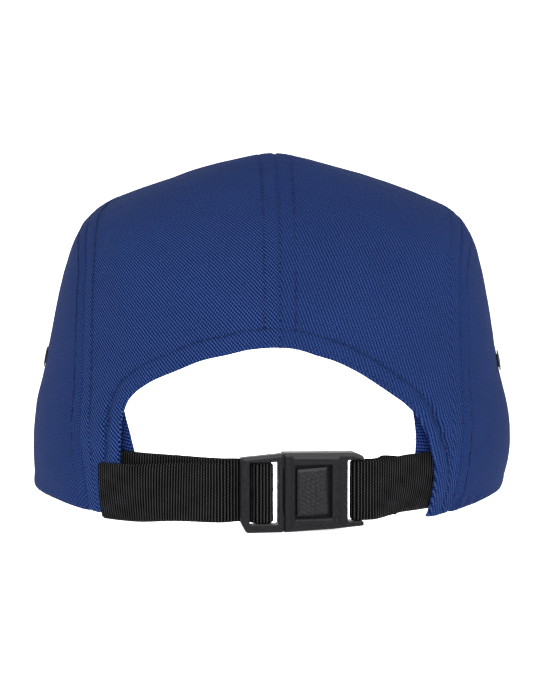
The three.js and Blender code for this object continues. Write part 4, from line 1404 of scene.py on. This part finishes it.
def button_plates():
    return [moulded(np.array(BUTTON_OUTLINE), *BUTTON_DEPTH, 0.8, radius=0.7), *button_dots()]


def button_dots():
    """Low oval domes in slanting rows on the button's face."""
    dome_turns = np.linspace(0, 2 * math.pi, DOT_SIDES, endpoint=False)
    foot, shoulder, top = DOT_HEIGHTS
    dots = []
    for row in range(DOT_ROWS):
        for column in range(DOT_COLUMNS):
            along = DOT_FIRST[0] - DOT_STEPS[0] * column
            up = DOT_FIRST[1] + DOT_STEPS[1] * row + DOT_RISE * column
            ring = [
                (along + DOT_HALF[0] * math.cos(a), up + DOT_HALF[1] * math.sin(a) + DOT_SKEW * math.cos(a))
                for a in dome_turns
            ]
            inner = [(along + 0.6 * (x - along), up + 0.6 * (y - up)) for x, y in ring]
            points = [(x, y, foot) for x, y in ring] + [(x, y, shoulder) for x, y in inner]
            points.append((along, up, top))
            size = len(ring)
            faces = []
            for k in range(size):
                after = (k + 1) % size
                faces += [(k, after, size + after, size + k), (size + k, size + after, 2 * size)]
            dots.append((np.array(points), faces))
    return dots


def socket_plates(s):
    outline, face = np.array(SOCKET_OUTLINE), np.array(FACE_OUTLINE)
    start, stop, half = WINDOW
    window = rectangle(start, stop, half)
    behind = s.buckle_height / MM / 2 - 1
    return [
        moulded(outline[:, :2], *SOCKET_DEPTH, outline[:, 2], [window], radius=0.5),
        moulded(face[:, :2], *FACE_DEPTH, face[:, 2], [window], radius=0.5),
        moulded(outline[:, :2], *BODY_DEPTH, 0.0, radius=0.5, back_chamfer=0.2),
        moulded(rectangle(-19.4, -1.2, behind), *BACK_DEPTH, 0.3, radius=1.2, back_chamfer=0.9),
        bar_plate(s, REAR_BAR),
    ]


# Operators


def settings(context):
    return context.scene.cap_sizes, context.scene.cap_colours


# Each panel's grain: the slant of its twill in degrees, how clearly it shows, and whether its spine runs over
# the front and back or down the side
PANELS = {
    "front_panel": (122, 0.7, "ends"),
    "side_panel_left": (150, 0.28, "side"),
    "side_panel_right": (60, 0.22, "side"),
    "top_panel_left": (130, 1.0, "ends"),
    "top_panel_right": (108, 0.62, "ends"),
}


def spine(s, kind):
    """The crown's middle line from the front rim to the back rim, or its side's line from rim to rim."""
    reach = np.linspace(-1, 1, SPINE_SAMPLES)
    still = np.zeros_like(reach)
    pair = (still, reach) if kind == "ends" else (reach, still)
    return crown_point(s, np.stack(pair, -1))


def build_panel(s, c, name, cells, lines):
    flats, quads = cells
    outer, inner = cloth_skins(s, flats, lines)
    slant, contrast, kind = PANELS[name]
    weave = grain(crown_point(s, flats), spine(s, kind), 0 if kind == "ends" else 1)
    points, faces = closed_skin(outer + cap_origin(s), inner + cap_origin(s), quads)
    material = cloth_material(f"twill_{name}", c.cloth, c.cloth_deep, slant, contrast)
    weave = np.concatenate([weave, weave])
    inside = (pale_cotton(c), len(quads)) if name == "front_panel" else None
    return make_object(name, points, faces, material, weave=weave, node=name, inside=inside)


class CAP_OT_panels(bpy.types.Operator):
    """Sew the five panels of the crown"""

    bl_idname = "cap.panels"
    bl_label = "Crown panels"

    def execute(self, context):
        s, c = settings(context)
        lines = panel_lines(s)
        front = [("rim", lines["front_rim"], 0.3)]
        for word in SIDES:
            front += [("seam", lines[f"front_side_{word}"], 1.0), ("seam", lines[f"front_top_{word}"], 2.0)]
        build_panel(s, c, "front_panel", front_panel_cells(s), front)
        for word, side in SIDES.items():
            own = [
                ("seam", lines[f"side_{word}"], 0.6),
                ("seam", lines[f"front_side_{word}"], 1.7),
                ("rim", lines[f"side_rim_{word}"], 0),
            ]
            panel = build_panel(s, c, f"side_panel_{word}", side_panel_cells(s, side), own)
            cut_eyelet_holes(s, panel, side)
            top = [
                ("seam", lines["centre"], 0.2),
                ("seam", lines[f"side_{word}"], 0.6),
                ("seam", lines[f"front_top_{word}"], 2.4),
                ("hem", lines[f"arch_{word}"], 1.1),
                ("rim", lines[f"back_rim_{word}"], 0),
            ]
            build_panel(s, c, f"top_panel_{word}", top_panel_cells(s, side), top)
        return {"FINISHED"}


def eyelet_place(s, side, row):
    along, angle, skew = row
    flat = flat_point(side, angle - side * skew, along)
    return crown_point(s, flat) + cap_origin(s), crown_normal(s, flat)


def cut_eyelet_holes(s, panel, side):
    """Drops the quads of a panel that an eyelet's barrel passes through."""
    work = bmesh.new()
    work.from_mesh(panel.data)
    for row in EYELETS.values():
        middle, normal = eyelet_place(s, side, row)
        gone = []
        for face in work.faces:
            away = np.array(face.calc_center_median()) - middle
            if np.linalg.norm(away - normal * (away @ normal)) < EYELET_HOLE:
                gone.append(face)
        bmesh.ops.delete(work, geom=gone, context="FACES")
    work.to_mesh(panel.data)
    work.free()


class CAP_OT_peak(bpy.types.Operator):
    """Make the peak with its cloth cover"""

    bl_idname = "cap.peak"
    bl_label = "Peak"

    def execute(self, context):
        s, c = settings(context)
        columns, rows = PEAK_GRID
        share, t = np.meshgrid(np.linspace(0, 1, columns + 1), spread(rows))
        plan = peak_plan(s, share, t)
        along = lengths_along(plan, 1)
        from_rim = lengths_along(plan, 0)
        edge = np.minimum(from_rim[-1:] - from_rim, 1.0)
        edge = np.minimum(edge, np.minimum(along, along[:, -1:] - along))
        radius = s.peak_thickness / 2
        turned = fold_round(edge, radius)
        rows_groove = np.zeros_like(edge)
        for k in range(PEAK_ROWS):
            row = (PEAK_ROW_FIRST + PEAK_ROW_STEP * k) * MM
            rows_groove -= 0.14 * MM * bell(edge, row, 0.7 * MM) * (from_rim > 3 * MM)
        top = plan + upright(rows_groove - turned)
        foot = plan - upright(s.peak_thickness + rows_groove - turned)
        points, faces = closed_skin(
            top.reshape(-1, 3) + cap_origin(s), foot.reshape(-1, 3) + cap_origin(s), grid_quads(columns, rows)
        )
        weave = plan[..., :2].reshape(-1, 2)
        material = cloth_material("twill_peak", c.cloth, c.cloth_deep, 50)
        count = columns * rows
        make_object(
            "peak", points, faces, material, weave=np.concatenate([weave, weave]), node="peak",
            sharp_degrees=80, inside=(pale_cotton(c), count),
        )
        return {"FINISHED"}


def upright(height):
    """Heights as vectors along z."""
    return np.stack([np.zeros_like(height), np.zeros_like(height), height], -1)


PEAK_HALF_ANGLE = 59
PEAK_ROUNDNESS = 2.4
ROOT_LET_IN = 0.5 * MM


def peak_plan(s, share, t):
    """Points of the peak's upper face: share runs along it, t from the rim to its edge."""
    degrees = -90 + PEAK_HALF_ANGLE - 2 * PEAK_HALF_ANGLE * share
    rim = crown_point(s, flat_point(1, degrees, 1.0))
    inward = unit(rim * np.array([1, 1, 0])) * s.wall
    turn = -0.5 + (math.pi + 1.0) * share
    power = 2 / PEAK_ROUNDNESS
    rounded_cos = np.sign(np.cos(turn)) * abs(np.cos(turn)) ** power
    rounded_sin = np.sign(np.sin(turn)) * abs(np.sin(turn)) ** power
    edge_x = s.peak_half_width * rounded_cos
    edge_y = -s.peak_centre - np.where(np.sin(turn) > 0, s.peak_reach, s.peak_lobe) * rounded_sin
    x = (rim[..., 0] - inward[..., 0]) * (1 - t) + edge_x * t
    y = (rim[..., 1] - inward[..., 1]) * (1 - t) + edge_y * t
    bow = np.maximum(0, 1 - (x / (s.half_width + 3 * MM)) ** 2)
    rise = PROFILE[-1][PROFILE_COLUMNS.index("front_up")] * s.crown_height
    # The root is let into the rim's seam
    root = ROOT_LET_IN * np.maximum(0, 1 - 20 * t)
    z = rim[..., 2] * (1 - t) + rise * bow * 0.55 * t - s.gap + root
    return np.stack([x, y, z], -1)


class CAP_OT_sweatband(bpy.types.Operator):
    """Sew the band inside the rim"""

    bl_idname = "cap.sweatband"
    bl_label = "Sweatband"

    def execute(self, context):
        s, c = settings(context)
        area, outer_face = band_area(), band_face(s)
        columns, rows = BAND_GRID
        u, v = np.meshgrid(np.linspace(0, 1, columns + 1), np.linspace(0, 1, rows + 1))
        flats = area(u, v)
        base, normal = crown_point(s, flats), crown_normal(s, flats)
        weave = np.stack([lengths_along(base, 1), lengths_along(base, 0)], -1)
        height, along = weave[..., 1], weave[..., 0]
        edge = np.minimum(np.minimum(height, height[-1:] - height), np.minimum(along, along[:, -1:] - along))
        turned = fold_round(edge, s.band_thickness / 2)
        wave = 0.15 * MM * pucker(along, 0.5, 11 * MM) * bell(height, 0, 9 * MM)
        groove = 0.14 * MM * bell(height, 3 * MM, 0.5 * MM)
        groove += 0.14 * MM * bell(height[-1:] - height, 3 * MM, 0.5 * MM)
        outside = outer_face(flats) - turned
        inside = outer_face(flats) - s.band_thickness + turned + groove + np.minimum(wave, 0)
        outer = (base + normal * outside[..., None]).reshape(-1, 3) + cap_origin(s)
        inner = (base + normal * inside[..., None]).reshape(-1, 3) + cap_origin(s)
        points, faces = closed_skin(outer, inner, grid_quads(columns, rows))
        weave = np.concatenate([weave.reshape(-1, 2)] * 2)
        material = cloth_material("band_cloth", c.band, c.cloth_deep, 8, pitch=1.25 * MM)
        count = columns * rows
        make_object(
            "sweatband", points, faces, material, weave=weave, node="sweatband",
            inside=(pale_cotton(c), count),
        )
        return {"FINISHED"}


def band_area():
    foot_left, foot_right = table_angle(BAND_END[0], 1), -180 - table_angle(BAND_END[0], -1)
    head_left, head_right = table_angle(BAND_END[-1], 1), -180 - table_angle(BAND_END[-1], -1)
    return patch(
        rim_line(1, foot_left, foot_right, BAND_END[0][0]),
        rim_line(1, head_left, head_right, BAND_END[-1][0]),
        table_line(BAND_END, 1),
        table_line(BAND_END, -1),
    )


def band_face(s):
    """The band lies on the wall, and behind the webbing near its ends."""

    def at(flats):
        angle = np.degrees(np.arctan2(flats[..., 1], abs(flats[..., 0])))
        return -s.wall - s.gap - (s.strap_thickness + s.strap_room) * step_between(angle, 28, 40)

    return at


def thread_material(name, tint):
    return plastic_material(name, tint, 0.8, strength=0.0)


def stitch_rows(s, side):
    """The crown's stitch rows on one side: line, distance, a disk point beyond the row, start and end."""
    top, flank, front, back = (side * 0.25, 0.1), (side * 0.75, 0.2), (0, -0.75), (side * 0.45, 0.45)
    hem = (side * 0.5, 0.5)
    seam, front_side = table_line(SIDE_SEAM, side), table_line(FRONT_SEAM_SIDE, side)
    front_top, arch = table_line(FRONT_SEAM_TOP, side), table_line(ARCH, side)
    return (
        (centre_line(side), s.topstitch, top, 0.0, 0.985),
        (seam, s.topstitch, back, 0.02, 0.98),
        (seam, s.topstitch, flank, 0.01, 0.98),
        (front_side, s.topstitch, flank, 0.02, 0.95),
        (front_side, s.topstitch, front, 0.02, 1.0),
        (front_top, s.topstitch, front, 0.0, 1.0),
        (front_top, s.topstitch, top, 0.04, 1.0),
        (arch, s.hem_width, hem, 0.0, 0.97),
        (arch, HEM_EDGE, hem, 0.0, 0.99),
    )


class CAP_OT_stitching(bpy.types.Operator):
    """Sew the visible stitch lines"""

    bl_idname = "cap.stitching"
    bl_label = "Stitching"

    def execute(self, context):
        s, c = settings(context)
        # The dark thread carries painted shade of the grooves the stitches lie in.
        dark, pale = thread_material("thread", c.thread), thread_material("pale_thread", c.inside)
        trees = [tree_of(bpy.data.objects[name]) for name in PANELS]
        rows = [row for side in SIDES.values() for row in stitch_rows(s, side)]
        sew(s, "crown_stitches", [beside(s, *row) + cap_origin(s) for row in rows], trees, dark)
        self.sew_peak(s, dark)
        self.sew_band(s, pale)
        return {"FINISHED"}

    def sew_peak(self, s, material):
        tree = [tree_of(bpy.data.objects["peak"])]
        share = np.linspace(0.03, 0.97, 400)
        paths = []
        t = np.linspace(0.02, 1, 160)
        for k in range(PEAK_ROWS):
            edge = (PEAK_ROW_FIRST + PEAK_ROW_STEP * k) * MM
            columns = peak_plan(s, share[:, None], t[None, :])
            left = np.linalg.norm(columns - columns[:, -1:], axis=-1)
            place = np.array([np.interp(edge, row[::-1], t[::-1]) for row in left])
            inside = left[:, 0] > edge + 3 * MM
            path = peak_plan(s, share[inside], place[inside])
            if len(path) > 10:
                paths.append(path + cap_origin(s))
        sew(s, "peak_stitches", paths, tree, material)

    def sew_band(self, s, material):
        area, face = band_area(), band_face(s)
        u = np.linspace(0.004, 0.996, 900)
        paths = []
        for v in BAND_ROWS:
            flats = area(u, np.full_like(u, v))
            reach = face(flats) - s.band_thickness - BAND_STITCH_IN
            paths.append(crown_point(s, flats) + crown_normal(s, flats) * reach[:, None] + cap_origin(s))
        sew(s, "band_stitches", paths, [tree_of(bpy.data.objects["sweatband"])], material)


class CAP_OT_webbing(bpy.types.Operator):
    """Weave the strap's two pieces"""

    bl_idname = "cap.webbing"
    bl_label = "Webbing"

    def execute(self, context):
        s, c = settings(context)
        weave_strap(s, c, "strap_left", left_stations(s), True)
        weave_strap(s, c, "strap_right", right_stations(s), False)
        return {"FINISHED"}


class CAP_OT_buckle(bpy.types.Operator):
    """Mould the two halves of the buckle and its button"""

    bl_idname = "cap.buckle"
    bl_label = "Buckle"

    def execute(self, context):
        s, c = settings(context)
        # Both plastics get a painted highlight on the faces that look up.
        plastic = plastic_material("plastic", c.plastic, 0.5, painted_sheen=0.035)
        button = plastic_material("button", tuple(BUTTON_LIGHTER * v for v in c.plastic), 0.5, painted_sheen=0.035)
        buckle_object(s, "buckle_plug", plug_plates(s), plastic, node="buckle_plug")
        buckle_object(s, "buckle_button", button_plates(), button)
        buckle_object(s, "buckle_socket", socket_plates(s), plastic, node="buckle_socket")
        return {"FINISHED"}


class CAP_OT_eyelets(bpy.types.Operator):
    """Set the eyelets in the side panels"""

    bl_idname = "cap.eyelets"
    bl_label = "Eyelets"

    def execute(self, context):
        s, c = settings(context)
        material = enamel_material(c)
        for word, side in SIDES.items():
            for place, row in EYELETS.items():
                middle, normal = eyelet_place(s, side, row)
                points, faces = ring_solid(eyelet_section(s), 40)
                turn = np.array(Vector((0, 0, 1)).rotation_difference(Vector(normal)).to_matrix())
                points = points @ turn.T + middle
                name = f"eyelet_{word}_{place}"
                recalculate_normals(
                    make_object(name, points, faces, material, sharp_degrees=60, node=name)
                )
        return {"FINISHED"}


def eyelet_section(s):
    """The closed outline of an eyelet, as (radius, height over the cloth)."""
    bore, barrel, rim = 1.7 * MM, 2.4 * MM, 3.8 * MM
    low = -s.wall - s.gap
    flange = [
        (rim * 0.5 + bore * 0.5 + (rim - bore) * 0.5 * math.cos(a), s.gap + 0.5 * MM * math.sin(a))
        for a in np.linspace(0, math.pi, 11)
    ]
    under = [
        (bore, low - 0.5 * MM), (rim - 1.0 * MM, low - 0.5 * MM), (rim - 0.6 * MM, low - 0.2 * MM),
        (rim - 0.7 * MM, low), (barrel, low), (barrel, s.gap - 0.05 * MM),
    ]
    return flange + under


def ring_solid(section, count):
    """A closed outline turned round the z axis."""
    turns = np.linspace(0, 2 * math.pi, count, endpoint=False)
    points = [(r * math.cos(a), r * math.sin(a), z) for a in turns for r, z in section]
    size = len(section)
    faces = []
    for i in range(count):
        for k in range(size):
            a, b = i * size + k, i * size + (k + 1) % size
            c, d = (i + 1) % count * size + (k + 1) % size, (i + 1) % count * size + k
            faces.append((a, b, c, d))
    return np.array(points), faces


class CAP_OT_stage(bpy.types.Operator):
    """Set the floor, the lights and the camera"""

    bl_idname = "cap.stage"
    bl_label = "Stage"

    def execute(self, context):
        s, c = settings(context)
        pale_floor(c)
        set_world()
        for name, place, size, power in STAGE_LIGHTS:
            soft_light(name, place, size, power)
        set_camera(s)
        view = bpy.context.scene.view_settings
        view.view_transform = "Standard"
        view.look = "None"
        view.exposure = 0.0
        return {"FINISHED"}


STAGE_LIGHTS = (
    ("key_light", (0.7, 1.7, 1.5), 1.0, 7.5),
    ("fill_light", (-1.2, 1.6, 0.9), 1.4, 4.0),
    ("top_light", (0.0, 0.35, 1.9), 0.6, 4.5),
    ("front_light", (0.05, 1.6, 0.28), 0.5, 9.0),
    ("inner_light", (0.0, 0.045, 0.088), 0.05, 0.3),
)
FLOOR_RADIUS = 14.0
FLOOR_SIDES = 96
WORLD_STRENGTH = 1.1


def pale_floor(c):
    """A plain round floor that glows like a light table, wide enough to fill the view to the horizon."""
    turns = np.linspace(0, 2 * math.pi, FLOOR_SIDES, endpoint=False)
    points = [(FLOOR_RADIUS * math.cos(a), FLOOR_RADIUS * math.sin(a), 0) for a in turns]
    mesh = bpy.data.meshes.new("floor")
    mesh.from_pydata(points, [], [tuple(range(len(points)))])
    mesh.materials.append(floor_material(c))
    floor = bpy.data.objects.new("floor", mesh)
    bpy.context.scene.collection.objects.link(floor)
    return floor


def set_world():
    world = bpy.data.worlds.new("studio")
    world.use_nodes = True
    background = world.node_tree.nodes["Background"]
    background.inputs["Color"].default_value = (1, 1, 1, 1)
    background.inputs["Strength"].default_value = WORLD_STRENGTH
    bpy.context.scene.world = world


LIGHTS_AIM = (0, 0.03, 0.06)


def soft_light(name, place, size, power):
    data = bpy.data.lights.new(name, "AREA")
    data.shape = "DISK"
    data.size = size
    data.energy = power
    light = bpy.data.objects.new(name, data)
    light.location = place
    light.rotation_euler = (Vector(LIGHTS_AIM) - Vector(place)).to_track_quat("-Z", "Y").to_euler()
    bpy.context.scene.collection.objects.link(light)


def set_camera(s):
    """The photo's view: from behind, turned and raised a little, with its axis above the rim's middle."""
    turn, rise = CAMERA_TURN, CAMERA_RISE
    back = Vector((math.sin(turn) * math.cos(rise), math.cos(turn) * math.cos(rise), math.sin(rise)))
    up = Vector((-math.sin(turn) * math.sin(rise), -math.cos(turn) * math.sin(rise), math.cos(rise)))
    right = up.cross(back)
    data = bpy.data.cameras.new("camera")
    data.sensor_width = SENSOR
    data.lens = CAMERA_FOCUS_PX / FRAME_LONG_PX * SENSOR
    camera = bpy.data.objects.new("camera", data)
    camera.matrix_world = Matrix((
        (right.x, up.x, back.x, 0), (right.y, up.y, back.y, 0), (right.z, up.z, back.z, 0), (0, 0, 0, 1)
    ))
    camera.location = Vector(cap_origin(s)) + back * CAMERA_DISTANCE + up * CAMERA_LIFT
    bpy.context.scene.collection.objects.link(camera)
    bpy.context.scene.camera = camera


class CAP_PT_sidebar(bpy.types.Panel):
    bl_label = "Cap"
    bl_idname = "CAP_PT_sidebar"
    bl_space_type = "VIEW_3D"
    bl_region_type = "UI"
    bl_category = "Cap"

    def draw(self, context):
        layout = self.layout
        for operator in OPERATORS:
            layout.operator(operator.bl_idname)
        for group in (context.scene.cap_sizes, context.scene.cap_colours):
            column = layout.column()
            for key in group.bl_rna.properties.keys():
                if key not in ("name", "rna_type"):
                    column.prop(group, key)


OPERATORS = (
    CAP_OT_panels,
    CAP_OT_peak,
    CAP_OT_sweatband,
    CAP_OT_stitching,
    CAP_OT_webbing,
    CAP_OT_buckle,
    CAP_OT_eyelets,
    CAP_OT_stage,
)
CLASSES = (CapSizes, CapColours, *OPERATORS, CAP_PT_sidebar)


def register():
    for item in CLASSES:
        bpy.utils.register_class(item)
    bpy.types.Scene.cap_sizes = PointerProperty(type=CapSizes)
    bpy.types.Scene.cap_colours = PointerProperty(type=CapColours)


def unregister():
    del bpy.types.Scene.cap_sizes
    del bpy.types.Scene.cap_colours
    for item in reversed(CLASSES):
        bpy.utils.unregister_class(item)


def main():
    register()
    bpy.ops.cap.panels()
    bpy.ops.cap.peak()
    bpy.ops.cap.sweatband()
    bpy.ops.cap.stitching()
    bpy.ops.cap.webbing()
    bpy.ops.cap.buckle()
    bpy.ops.cap.eyelets()
    bpy.ops.cap.stage()
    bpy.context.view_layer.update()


if __name__ == "__main__":
    main()
